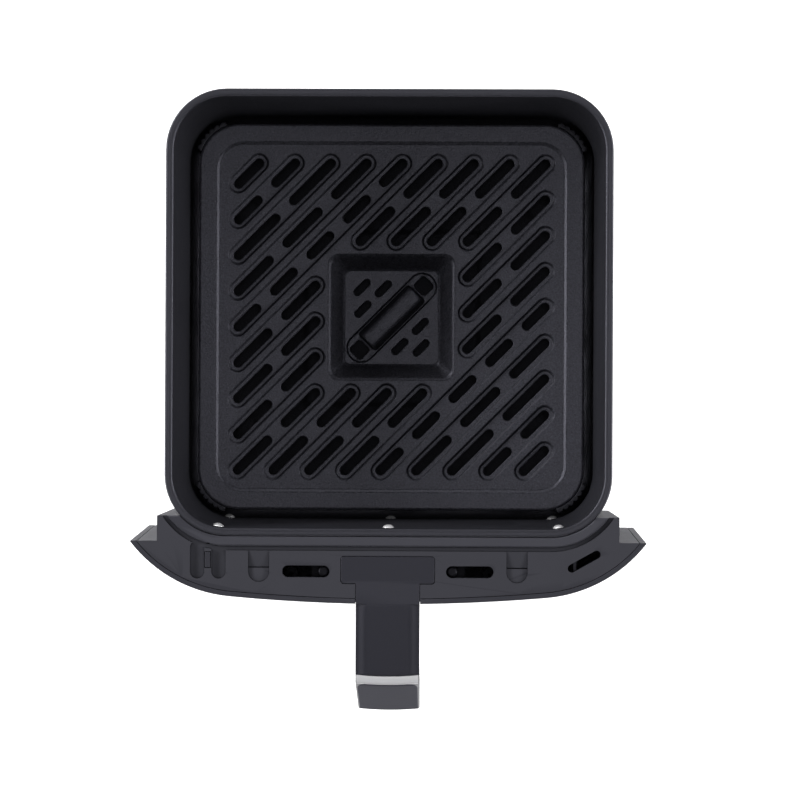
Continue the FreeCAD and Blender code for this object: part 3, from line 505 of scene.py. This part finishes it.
def make_pan():
    """The pan: its outside up to the rolled rim, its inside, the floor and its underside."""
    mesher = Mesher()
    floor_half = wall_half(FLOOR_FILLET + WALL)
    fillet_centre = (floor_half - FLOOR_FILLET, FLOOR_FILLET + WALL)
    outside = arc(fillet_centre, FLOOR_FILLET + WALL, -90, -1, 8)
    wall = [(wall_half(z), z) for z in range(14, 97, 4)]
    outside += [(half + WALL, z) for half, z in wall]
    under_bead = RIM_Z - BEAD_HEIGHT
    outside[-1] = (wall_half(under_bead) + WALL, under_bead - 0.3)
    bead = [(RIM_HALF - 2.2, under_bead + 0.05)]
    bead += arc((RIM_HALF - 1.5, under_bead + 1.5), 1.5, -80, 0, 4)
    bead += arc((RIM_HALF - 1.2, RIM_Z - 1.2), 1.2, 5, 84, 6)
    bead += [(RIM_HALF - 1.6, RIM_Z), (RIM_HALF - 2.6, RIM_Z - 0.03)]
    bead += arc((RIM_HALF - BEAD_WIDTH + 1.5, RIM_Z - 1.7), 1.6, 78, 172, 8)
    inside = list(reversed(wall))
    inside += arc(fillet_centre, FLOOR_FILLET, -2, -90, 9)
    rings = [pan_ring(mesher, half, z) for half, z in outside + bead + inside]
    mesher.tower(rings)
    flat_half = fillet_centre[0]
    pressed_floor(mesher, rings[-1], flat_half, WALL)
    pressed_floor(mesher, rings[0], flat_half, 0.0)
    pan = make_piece("pan_shell", mesher, "drawer", ["basket_pan"], PAN_COAT)
    # The floor's faces take that darker copy of the coat, as painted shade under the plate.
    pan.data.materials.append(FLOOR_PAINTED_SHADE)
    for face in pan.data.polygons:
        reach = max(abs(face.center.x), abs(face.center.y))
        if reach < flat_half * MM and face.center.z < 0.5 * FLOOR_FILLET * MM:
            face.material_index = 1


def lathe(mesher, base, axis, section, steps=24):
    """Turns a section of (radius, height) points about an axis from a base point."""
    axis = Vector(axis).normalized()
    across = axis.orthogonal().normalized()
    other = axis.cross(across)
    rings = []
    for radius, height in section:
        loop = []
        for step in range(steps):
            turn = 2 * math.pi * step / steps
            spoke = across * math.cos(turn) + other * math.sin(turn)
            loop.append(Vector(base) + axis * height + spoke * radius)
        rings.append(mesher.ring(loop))
    mesher.tower(rings)
    mesher.cap(rings[0])
    mesher.cap(rings[-1])


def make_rivets():
    """Domed heads on low collars inside the pan, and upset tails behind the bracket."""
    mesher = Mesher()
    head = [(1.6, -3.9), (2.9, -3.85), (2.95, -3.4), (2.7, -3.1), (1.6, -3.0), (1.6, -0.2),
            (3.0, -0.15), (3.15, 0.1), (3.05, 0.35), (2.8, 0.62), (2.4, 0.98), (1.9, 1.3),
            (1.3, 1.54), (0.7, 1.67), (0.2, 1.7)]
    for x in RIVET_XS:
        for z in RIVET_ZS:
            half = wall_half(z)
            corner = half - CORNER_CENTRE
            turn = math.asin(max(abs(x) - CORNER_CENTRE, 0.0) / corner)
            place = (x, -(CORNER_CENTRE + corner * math.cos(turn)), z)
            inward = (-math.copysign(math.sin(turn), x), math.cos(turn), WALL_LEAN)
            lathe(mesher, place, inward, head)
    make_piece("rivet_heads", mesher, "drawer", ["wall_rivets"], BRIGHT_METAL)


# ---- crisper plate ---------------------------------------------------------------------------

# Sections of the plate's rounded edges, as (distance outside the outline, height) points.
LANE_SECTION = ((-1.1, 0.0), (-0.85, 0.03), (-0.68, 0.1), (-0.55, 0.24), (-0.44, 0.45),
                (-0.2, 0.9), (-0.07, 1.12), (0.1, 1.31), (0.32, 1.44), (0.7, 1.5))
SLOT_SECTION = ((0.6, 0.0), (0.33, -0.04), (0.13, -0.15), (0.02, -0.34), (0.0, -0.6))


def lane_ends(index):
    """The end centres of one slanting lane, on the square that bounds the pattern."""
    offset = (LANE_COUNT // 2 - index) * LANE_PITCH
    if offset >= 0:
        return (-LANE_END, -LANE_END + offset), (LANE_END - offset, LANE_END)
    return (-LANE_END - offset, -LANE_END), (LANE_END, LANE_END + offset)


def lane_pieces(index):
    """A lane's end centres, in two pieces where the well interrupts it."""
    start, end = lane_ends(index)
    if index not in SPLIT_LANES:
        return [(start, end)]
    reach = LANE_END - INNER_END
    left = (start, (start[0] + reach, start[1] + reach))
    right = ((end[0] - reach, end[1] - reach), end)
    return [left, right]


def slots_in(start, end, count):
    """The end centres of the equal slots along one lane."""
    length = (end[0] - start[0] - (count - 1) * SLOT_BRIDGE) / count
    slots = []
    for number in range(count):
        near = number * (length + SLOT_BRIDGE)
        first = (start[0] + near, start[1] + near)
        slots.append((first, (first[0] + length, first[1] + length)))
    return slots


def slot_rings(mesher, start, end, radius, top_z, under_z):
    """A through-slot with an eased upper edge; returns its upper and lower rings."""
    rings = [mesher.ring(stadium(start, end, radius + out, 10), top_z + drop)
             for out, drop in SLOT_SECTION]
    rings.append(mesher.ring(stadium(start, end, radius, 10), under_z + 0.25))
    rings.append(mesher.ring(stadium(start, end, radius + 0.25, 10), under_z))
    mesher.tower(rings)
    return rings[0], rings[-1]


def step_square(mesher, half, z):
    opening = (PLATE_CORNER - STEP_CORNER) / (PLATE_HALF - STEP_HALF)
    corner = STEP_CORNER + (half - STEP_HALF) * opening
    return mesher.ring(square(half, half, corner, steps=12), z)


def well_square(mesher, half, z):
    corner = WELL_CORNER + (half - WELL_TOP_HALF) * WELL_CORNER_OPENING
    return mesher.ring(square(half, half, corner, steps=8), z)


def plate_edge(mesher):
    """The slope up from the sunk field, the flat border and its rim; top and lower rings."""
    section = [(STEP_HALF - 2.4, FIELD_Z), (STEP_HALF - 2.0, FIELD_Z + 0.04),
               (STEP_HALF - 1.65, FIELD_Z + 0.17), (STEP_HALF - 1.3, FIELD_Z + 0.38),
               (STEP_HALF - 0.5, FIELD_Z + 0.88), (STEP_HALF - 0.15, FIELD_Z + 1.07),
               (STEP_HALF + 0.2, FIELD_Z + 1.17), (STEP_HALF + 0.7, BORDER_Z),
               (PLATE_HALF - 1.5, BORDER_Z), (PLATE_HALF - 0.9, BORDER_Z - 0.12),
               (PLATE_HALF - 0.4, BORDER_Z - 0.4), (PLATE_HALF - 0.1, BORDER_Z - 0.8),
               (PLATE_HALF, BORDER_Z - 1.3), (PLATE_HALF, BORDER_UNDER_Z + 0.7),
               (PLATE_HALF - 0.3, BORDER_UNDER_Z + 0.1), (PLATE_HALF - 1.0, BORDER_UNDER_Z),
               (STEP_HALF + 0.4, BORDER_UNDER_Z), (STEP_HALF - 0.1, BORDER_UNDER_Z + 0.2),
               (STEP_HALF - 0.4, FIELD_UNDER_Z - 0.1), (STEP_HALF - 1.0, FIELD_UNDER_Z)]
    rings = [step_square(mesher, half, z) for half, z in section]
    mesher.tower(rings)
    return rings[0], rings[-1]


def well_sides(mesher):
    """The well's eased lip, sloping wall and rounded foot; returns top and floor rings."""
    top = WELL_TOP_HALF
    foot = WELL_FLOOR_HALF
    section = [(top + 2.2, FIELD_Z), (top + 1.8, FIELD_Z - 0.08), (top + 1.3, FIELD_Z - 0.34),
               (top + 0.7, FIELD_Z - 0.72), (top + 0.2, FIELD_Z - 1.12), (top - 0.2, FIELD_Z - 1.6),
               (foot + 1.8, WELL_FLOOR_Z + 1.5), (foot + 1.2, WELL_FLOOR_Z + 0.85),
               (foot + 0.7, WELL_FLOOR_Z + 0.48), (foot + 0.1, WELL_FLOOR_Z + 0.12),
               (foot - 0.3, WELL_FLOOR_Z)]
    rings = [well_square(mesher, half, z) for half, z in section]
    mesher.tower(rings)
    return rings[0], rings[-1]


def finger_grip(mesher, under_z):
    """The trough, the bar that rises from it and the holes at the bar's two ends."""
    bed_z = WELL_FLOOR_Z - TROUGH_DEPTH
    section = ((0.35, 0.0), (0.1, -0.06), (-0.1, -0.22), (-0.25, -0.6), (-0.4, -1.5),
               (-0.55, -2.0), (-0.75, -2.3), (-1.0, -TROUGH_DEPTH))
    rings = []
    for out, drop in section:
        loop = stadium((-TROUGH_REACH, 0), (TROUGH_REACH, 0), TROUGH_RADIUS + out, 14)
        rings.append(mesher.ring(turned(loop, 45), WELL_FLOOR_Z + drop))
    mesher.tower(rings)
    crest_z = WELL_FLOOR_Z + BAR_RISE
    bar = ((21.2, 7.4, bed_z), (21.0, 7.15, bed_z + 0.2), (20.8, 6.85, bed_z + 0.6),
           (20.4, 5.1, crest_z - 1.3), (20.2, 4.75, crest_z - 0.7), (19.9, 4.2, crest_z - 0.3),
           (19.4, 3.5, crest_z), (14.0, 1.2, crest_z + 0.05))
    bar_rings = []
    for half_x, half_y, z in bar:
        loop = square(half_x, half_y, min(BAR_CORNER, half_y * 0.55), steps=6)
        bar_rings.append(mesher.ring(turned(loop, 45), z))
    mesher.tower(bar_rings)
    mesher.cap(bar_rings[-1])
    holes = []
    lower = []
    for side in (-1, 1):
        column = []
        for grow, z in ((0.35, bed_z), (0.1, bed_z - 0.1), (0.0, bed_z - 0.35), (0.0, under_z)):
            half_x, half_y = (half + grow for half in GRIP_HOLE_HALF_SIZES)
            loop = square(half_x, half_y, GRIP_HOLE_CORNER, steps=6)
            loop = [(x + side * GRIP_HOLE_AWAY, y) for x, y in loop]
            column.append(mesher.ring(turned(loop, 45), z))
        mesher.tower(column)
        holes.append(column[0])
        lower.append(column[-1])
    mesher.fill(rings[-1], [bar_rings[0], *holes])
    return rings[0], lower


def make_plate():
    """The plate with its lanes, slots, well, finger grip and drain slots, open through."""
    mesher = Mesher()
    top_ring, under_ring = plate_edge(mesher)
    well_top, well_floor = well_sides(mesher)
    lane_floor_z = FIELD_Z - LANE_DEPTH
    lane_tops = []
    slot_feet = []
    for index in range(LANE_COUNT):
        for start, end in lane_pieces(index):
            rings = []
            for out, rise in LANE_SECTION:
                loop = stadium(start, end, LANE_HALF_WIDTH + out, 14)
                rings.append(mesher.ring(loop, lane_floor_z + rise))
            mesher.tower(rings)
            lane_tops.append(rings[-1])
            heads = []
            for slot in slots_in(start, end, SLOTS_PER_LANE[index]):
                head, foot = slot_rings(mesher, *slot, SLOT_RADIUS, lane_floor_z, FIELD_UNDER_Z)
                heads.append(head)
                slot_feet.append(foot)
            mesher.fill(rings[0], heads)
    mesher.fill(top_ring, [well_top, *lane_tops])

    under_z = PLATE_LOW.z
    trough_top, hole_feet = finger_grip(mesher, under_z)
    drain_heads = []
    drain_feet = list(hole_feet)
    for x, y in DRAIN_CENTRES:
        for side in (-1, 1):
            start = (side * x - DRAIN_REACH, side * y - DRAIN_REACH)
            end = (side * x + DRAIN_REACH, side * y + DRAIN_REACH)
            head, foot = slot_rings(mesher, start, end, DRAIN_RADIUS, WELL_FLOOR_Z, under_z)
            drain_heads.append(head)
            drain_feet.append(foot)
    mesher.fill(well_floor, [trough_top, *drain_heads])

    cup = [(WELL_TOP_HALF + 3.9, FIELD_UNDER_Z), (WELL_TOP_HALF + 2.6, FIELD_UNDER_Z - 1.4),
           (WELL_FLOOR_HALF + 3.9, under_z + 1.2), (WELL_FLOOR_HALF + 3.2, under_z + 0.4),
           (WELL_FLOOR_HALF + 2.2, under_z)]
    cup_rings = [well_square(mesher, half, z) for half, z in cup]
    mesher.tower(cup_rings)
    mesher.fill(under_ring, [cup_rings[0], *slot_feet])
    mesher.fill(cup_rings[-1], drain_feet)
    make_piece("crisper_casting", mesher, "crisper", ["crisper_plate"], PLATE_COAT)


# ---- silicone bumpers ------------------------------------------------------------------------


def bumper_ring(mesher, inner, outer, ribs, shrink, z):
    """A section of a corner bumper: an arc whose outer edge swells into ribs."""
    spread = math.radians(BUMPER_SPREAD)
    steps = BUMPER_RIBS * 10

    def place(part, radius):
        turn = math.pi / 4 + spread * (2 * part - 1) * (1 - shrink / (outer * spread))
        return (BUMPER_CENTRE + radius * math.cos(turn), BUMPER_CENTRE + radius * math.sin(turn))

    loop = []
    for step in range(steps + 1):
        part = step / steps
        wave = abs(math.sin(math.pi * BUMPER_RIBS * part))
        loop.append(place(part, outer - shrink - ribs * (1 - wave ** 0.6)))
    for step in range(steps + 1):
        loop.append(place(1 - step / steps, inner + shrink * 0.35))
    return mesher.ring(loop, z)


def bumper_part(grip, inner, outer, ribs, levels):
    """A solid part of a bumper from its levels, as (shrink, z)."""
    rings = [bumper_ring(grip, inner, outer, ribs, shrink, z) for shrink, z in levels]
    grip.tower(rings)
    grip.fill(rings[0])
    grip.fill(rings[-1])


def make_bumpers():
    """Four ribbed corner grips, each with a foot under the plate and a shelf between."""
    edge_radius = PLATE_CORNER + 0.1
    foot_top = BUMPER_FOOT_TOP_Z
    for quarter, corner in enumerate(("rear_right", "rear_left", "front_left", "front_right")):
        node = "corner_bumper_" + corner
        low, high = (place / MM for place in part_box(node))
        grip = Mesher()
        bumper_part(grip, edge_radius, BUMPER_OUTER_RADIUS, RIB_DEPTH,
                    [(0.5, foot_top), (0.15, foot_top + 0.15), (0.0, foot_top + 0.5),
                     (0.0, high.z - 0.9), (0.12, high.z - 0.45), (0.4, high.z - 0.12),
                     (0.85, high.z)])
        bumper_part(grip, BUMPER_INNER_RADIUS, BUMPER_FOOT_RADIUS, FOOT_RIB_DEPTH,
                    [(0.6, low.z), (0.15, low.z + 0.2), (0.0, low.z + 0.6),
                     (0.0, foot_top - 0.2), (0.3, foot_top)])
        bumper_part(grip, BUMPER_INNER_RADIUS, edge_radius + 0.6, 0.0,
                    [(0.3, foot_top), (0.0, foot_top + 0.3), (0.0, BORDER_UNDER_Z - 0.3),
                     (0.3, BORDER_UNDER_Z - 0.05)])
        grip.points = [(*turned([(x, y)], 90 * quarter)[0], z) for x, y, z in grip.points]
        make_piece("bumper_" + corner, grip, "crisper", [node], SILICONE)


# ---- handle's top cover ----------------------------------------------------------------------

SHOULDER_WIDTH = 6.2
SHOULDER_DROP = 1.5
CAP_TUCK = 0.4
CAP_SINK = 0.02
CAP_BOW = 0.4


def make_arm_cap():
    """The cover along the top of the arm, flat in the middle and rolled down at its sides."""
    low, high = (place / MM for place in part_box("handle_cap"))
    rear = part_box("handle_root_cover")[0].y / MM + CAP_TUCK
    top = DECK_Z - CAP_SINK
    half = high.x
    stations = [(low.y, 0.35), (low.y + 0.12, 0.12), (low.y + 0.4, 0.0)]
    stations += [(low.y + 2 + step * (rear - low.y - 4) / 14, 0.0) for step in range(15)]
    stations += [(rear - 0.2, 0.0), (rear, 0.15)]
    cover = Mesher()
    rings = []
    for y, inset in stations:
        loop = []
        for step in range(57):
            x = half * (step / 28 - 1)
            roll = max(0.0, (abs(x) - half + SHOULDER_WIDTH) / SHOULDER_WIDTH)
            drop = SHOULDER_DROP * smooth_step(roll)
            bow = CAP_BOW * (1 - (x / half) ** 2) if y < low.y + 1 else 0.0
            loop.append((x * (1 - inset / half), y - bow, top - inset - drop))
        loop += [(half - inset, y, low.z + inset), (-half + inset, y, low.z + inset)]
        rings.append(cover.ring(loop))
    cover.tower(rings)
    cover.cap(rings[0])
    cover.cap(rings[-1])
    make_piece("arm_cap", cover, "drawer", ["handle_cap"], HANDLE_PLASTIC, 60)


# ---- handle's bright insert ------------------------------------------------------------------

INSERT_BROW_Y = -207.4
INSERT_HALF = 17.55
INSERT_T = 2.4
CROWN = 0.9
FACE_RECESS = 0.7
BEND_RADIUS = 1.0
BEND_STEPS = 8
FACE_ROLL = 3.5
FACE_ROLL_DROP = 1.3
# Each corner's side in x and y, and its radii across and along the face.
FACE_CORNERS = ((1, 1, 5.0, 10.0), (-1, 1, 5.0, 10.0), (-1, -1, 1.8, 2.6), (1, -1, 1.8, 2.6))


def crown(x):
    """How far the front bows forward at a place across it."""
    return CROWN * (1 - (x / INSERT_HALF) ** 2)


def face_outline(half_x, half_y, inset, steps=8, side=10):
    """The face's outline: long easy curves at its two upper corners, tight ones below."""
    shrink = max(1 - inset / 6.0, 0.1)
    marks = []
    for quarter, (side_x, side_y, round_x, round_y) in enumerate(FACE_CORNERS):
        round_x *= shrink
        round_y *= shrink
        for step in range(steps + 1):
            turn = math.pi / 2 * (quarter + step / steps)
            marks.append((side_x * (half_x - round_x) + round_x * math.cos(turn),
                          side_y * (half_y - round_y) + round_y * math.sin(turn)))
    loop = []
    for here in range(len(marks)):
        after = marks[(here + 1) % len(marks)]
        loop.append(marks[here])
        if (here + 1) % (steps + 1) == 0:
            loop += [part_way(marks[here], after, part / side) for part in range(1, side)]
    return loop


def insert_slope():
    """The surround's front slope in section: top corner, foot, bend's reach, down and out."""
    foot = Vector((INSERT_LOW.y + CROWN, INSERT_LOW.z))
    brow = Vector((INSERT_BROW_Y + CROWN, DECK_Z))
    down = (foot - brow).normalized()
    out = Vector((down.y, -down.x))
    corner = brow - out * FACE_RECESS
    corner = Vector((corner.x + (corner.y - DECK_Z) * down.x / -down.y, DECK_Z))
    low = corner + down * ((foot.y + 0.5 - corner.y) / down.y)
    reach = BEND_RADIUS * math.tan(math.acos(out.y) / 2)
    return corner, low, reach, down, out


def surround_section():
    """The surround as (y, z) points: flat top, bend, front slope, foot and inside."""
    rear_y = INSERT_HIGH.y
    corner, low, reach, down, out = insert_slope()
    bend_end = corner + down * reach
    middle = Vector((corner.x + reach, DECK_Z - BEND_RADIUS))
    first = math.pi / 2
    last = math.atan2(bend_end.y - middle.y, bend_end.x - middle.x) % (2 * math.pi)
    section = [(rear_y, DECK_Z - 0.35), (rear_y - 0.35, DECK_Z)]
    for step in range(BEND_STEPS + 1):
        turn = first + (last - first) * step / BEND_STEPS
        section.append((middle.x + BEND_RADIUS * math.cos(turn),
                        middle.y + BEND_RADIUS * math.sin(turn)))
    inner = low - out * (INSERT_T - FACE_RECESS - 0.3)
    top_inner = inner + down * ((DECK_Z - INSERT_T - inner.y) / down.y)
    section += [tuple(low - down * 0.5), tuple(low - out * 0.4)]
    return section + [tuple(inner), tuple(top_inner), (rear_y, DECK_Z - INSERT_T)]


def make_surround():
    """The silver part, which turns over the top of the grip; its sides and slope take a darker copy
    of the silver as painted shade.
    """
    section = surround_section()
    centre = Vector((sum(y for y, _ in section), sum(z for _, z in section))) / len(section)
    ends = [(-INSERT_HALF, 0.45), (-INSERT_HALF + 0.12, 0.15), (-INSERT_HALF + 0.45, 0.0)]
    width = 2 * (INSERT_HALF - 2)
    stations = ends + [(width * (step / 12 - 0.5), 0.0) for step in range(13)]
    stations += [(-x, inset) for x, inset in reversed(ends)]
    surround = Mesher()
    rings = []
    for x, inset in stations:
        loop = []
        for y, z in section:
            toward = (centre - Vector((y, z))).normalized() * inset
            loop.append((x, y + toward.x - crown(x), z + toward.y))
        rings.append(surround.ring(loop))
    surround.tower(rings)
    surround.cap(rings[0])
    surround.cap(rings[-1])
    band = make_piece("insert_surround", surround, "drawer", ["handle_insert"],
                      SATIN_SILVER)
    # The sides and the front slope take the darker copy of the silver: painted shade.
    band.data.materials.append(SILVER_PAINTED_SHADE)
    for part in band.data.polygons:
        at_side = abs(part.center.x) > (INSERT_HALF - 0.3) * MM
        if at_side or part.center.z < (DECK_Z - 2) * MM:
            part.material_index = 1


def make_face():
    """The grey face on the surround's slope, with rounded edges and a rolled lower end."""
    corner, low, reach, down, out = insert_slope()
    slope_top = corner + down * (reach - 0.1)
    half_y = (low - slope_top).length / 2 - 0.25
    half_x = INSERT_HALF - 0.75
    shells = [(0.9, -0.6), (0.15, -0.5), (0.0, 0.3), (0.1, 0.5), (0.35, 0.64), (0.8, 0.7)]
    shells += [(1.6 + step * 1.8, 0.72) for step in range(9)]
    face = Mesher()
    rings = []
    for inset, height in shells:
        places = []
        for x, v in face_outline(half_x - inset, half_y - inset, inset):
            roll = max(0.0, (FACE_ROLL - v - half_y) / FACE_ROLL)
            spot = slope_top + down * (half_y - v) + out * (height - FACE_ROLL_DROP * roll ** 2)
            places.append((x, spot.x - crown(x), spot.y))
        rings.append(face.ring(places))
    face.tower(rings)
    face.cap(rings[0])
    face.cap(rings[-1])
    make_piece("insert_face", face, "drawer", ["handle_insert"], SATIN_GREY)


# ---- mouldings and hardware that keep the CAD shape ------------------------------------------

SOFTENED = (
    ("panel_shell", "panel_skin", "drawer", "skin", SKIN_PLASTIC, 0.45),
    ("panel_deck", "panel_frame", "drawer", "frame", FRAME_PLASTIC, 0.28),
    ("collar_band", "rim_collar", "drawer", "collar", COLLAR_PLASTIC, 0.2),
    ("panel_floor", "panel_base", "drawer", "frame", FRAME_PLASTIC, 0.4),
    ("switch_tongue", "switch_tab", "drawer", "frame", FRAME_PLASTIC, 0.15),
    ("root_cover", "handle_root_cover", "drawer", "handle", HANDLE_PLASTIC, 0.3),
    ("handle_arm", "handle_body", "drawer", "handle", HANDLE_PLASTIC, 0.4),
    ("wall_bracket", "front_bracket", "drawer", "bracket", BLACK_STEEL, 0.25),
)
PLAIN = (
    ("deck_stud_left", DARK_STEEL),
    ("deck_stud_right", DARK_STEEL),
    ("base_screws", ZINC),
    ("frame_screws", ZINC),
    ("handle_screws", ZINC),
)


def make_mouldings():
    """Mouldings as softened copies of their nodes; studs and screws as they are."""
    for name, node, body, slot, material, width in SOFTENED:
        softened(name, node, body, material, width)
    for node, material in PLAIN:
        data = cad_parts[node].data
        for index in range(len(data.materials)):
            data.materials[index] = material


# ---- camera, light and floor -----------------------------------------------------------------

CAMERA_PLACE = (0.0270, -0.0484, RIM_Z * MM + 1.430)
CAMERA_TURN = (0.0, 0.0144, 0.0046)
CAMERA_LENS = 115.9
WORLD_LIGHT = 0.07
FLOOR_HALF = 4.0
FLOOR_GLOW = 0.82
PAN_MIDDLE = (0.0, 0.0, 0.1)
# Name, place, what it faces, width, height and power.
SOFTBOXES = (
    ("left_softbox", (-1.7, 0.5, 0.85), PAN_MIDDLE, 2.4, 0.45, 62),
    ("right_softbox", (1.7, 0.1, 0.8), PAN_MIDDLE, 1.6, 0.45, 36),
    ("front_softbox", (0.0, -1.8, 0.62), PAN_MIDDLE, 1.4, 0.3, 7),
    ("rear_softbox", (0.0, 1.8, 0.9), PAN_MIDDLE, 1.4, 0.3, 9),
    ("overhead", (0.04, 0.0, 2.6), (0.0, 0.0, 0.0), 0.8, 0.8, 9),
)

def make_camera():
    """Straight down over the drawer, a little towards the handle from the pan's middle."""
    data = bpy.data.cameras.new("camera")
    camera = bpy.data.objects.new("camera", data)
    bpy.context.scene.collection.objects.link(camera)
    camera.location = CAMERA_PLACE
    camera.rotation_euler = CAMERA_TURN
    data.lens = CAMERA_LENS
    data.sensor_width = 36.0
    data.clip_start = 0.05
    data.clip_end = 30.0
    bpy.context.scene.camera = camera


def area_light(name, place, aim, width, height, watts):
    data = bpy.data.lights.new(name, "AREA")
    data.shape = "RECTANGLE"
    data.size = width
    data.size_y = height
    data.energy = watts
    light = bpy.data.objects.new(name, data)
    bpy.context.scene.collection.objects.link(light)
    light.location = place
    direction = Vector(aim) - Vector(place)
    light.rotation_euler = direction.to_track_quat("-Z", "Y").to_euler()


def make_light():
    world = bpy.data.worlds.new("world")
    world.use_nodes = True
    background = world.node_tree.nodes["Background"]
    background.inputs["Color"].default_value = (1, 1, 1, 1)
    background.inputs["Strength"].default_value = WORLD_LIGHT
    bpy.context.scene.world = world
    for softbox in SOFTBOXES:
        area_light(*softbox)


def make_floor():
    mesh = bpy.data.meshes.new("floor")
    corners = [(-FLOOR_HALF, -FLOOR_HALF, 0), (FLOOR_HALF, -FLOOR_HALF, 0),
               (FLOOR_HALF, FLOOR_HALF, 0), (-FLOOR_HALF, FLOOR_HALF, 0)]
    mesh.from_pydata(corners, [], [(0, 1, 2, 3)])
    floor = bpy.data.objects.new("floor", mesh)
    bpy.context.scene.collection.objects.link(floor)
    material = bpy.data.materials.new("floor_white")
    material.use_nodes = True
    shader = material.node_tree.nodes["Principled BSDF"]
    shader.inputs["Base Color"].default_value = (0.9, 0.9, 0.9, 1)
    shader.inputs["Roughness"].default_value = 0.9
    shader.inputs["Emission Color"].default_value = (1, 1, 1, 1)
    shader.inputs["Emission Strength"].default_value = FLOOR_GLOW
    mesh.materials.append(material)


make_pan()
make_rivets()
make_plate()
make_bumpers()
make_arm_cap()
make_surround()
make_face()
make_mouldings()
make_camera()
make_light()
make_floor()
bpy.context.scene.view_settings.view_transform = "Standard"

bpy.context.view_layer.update()
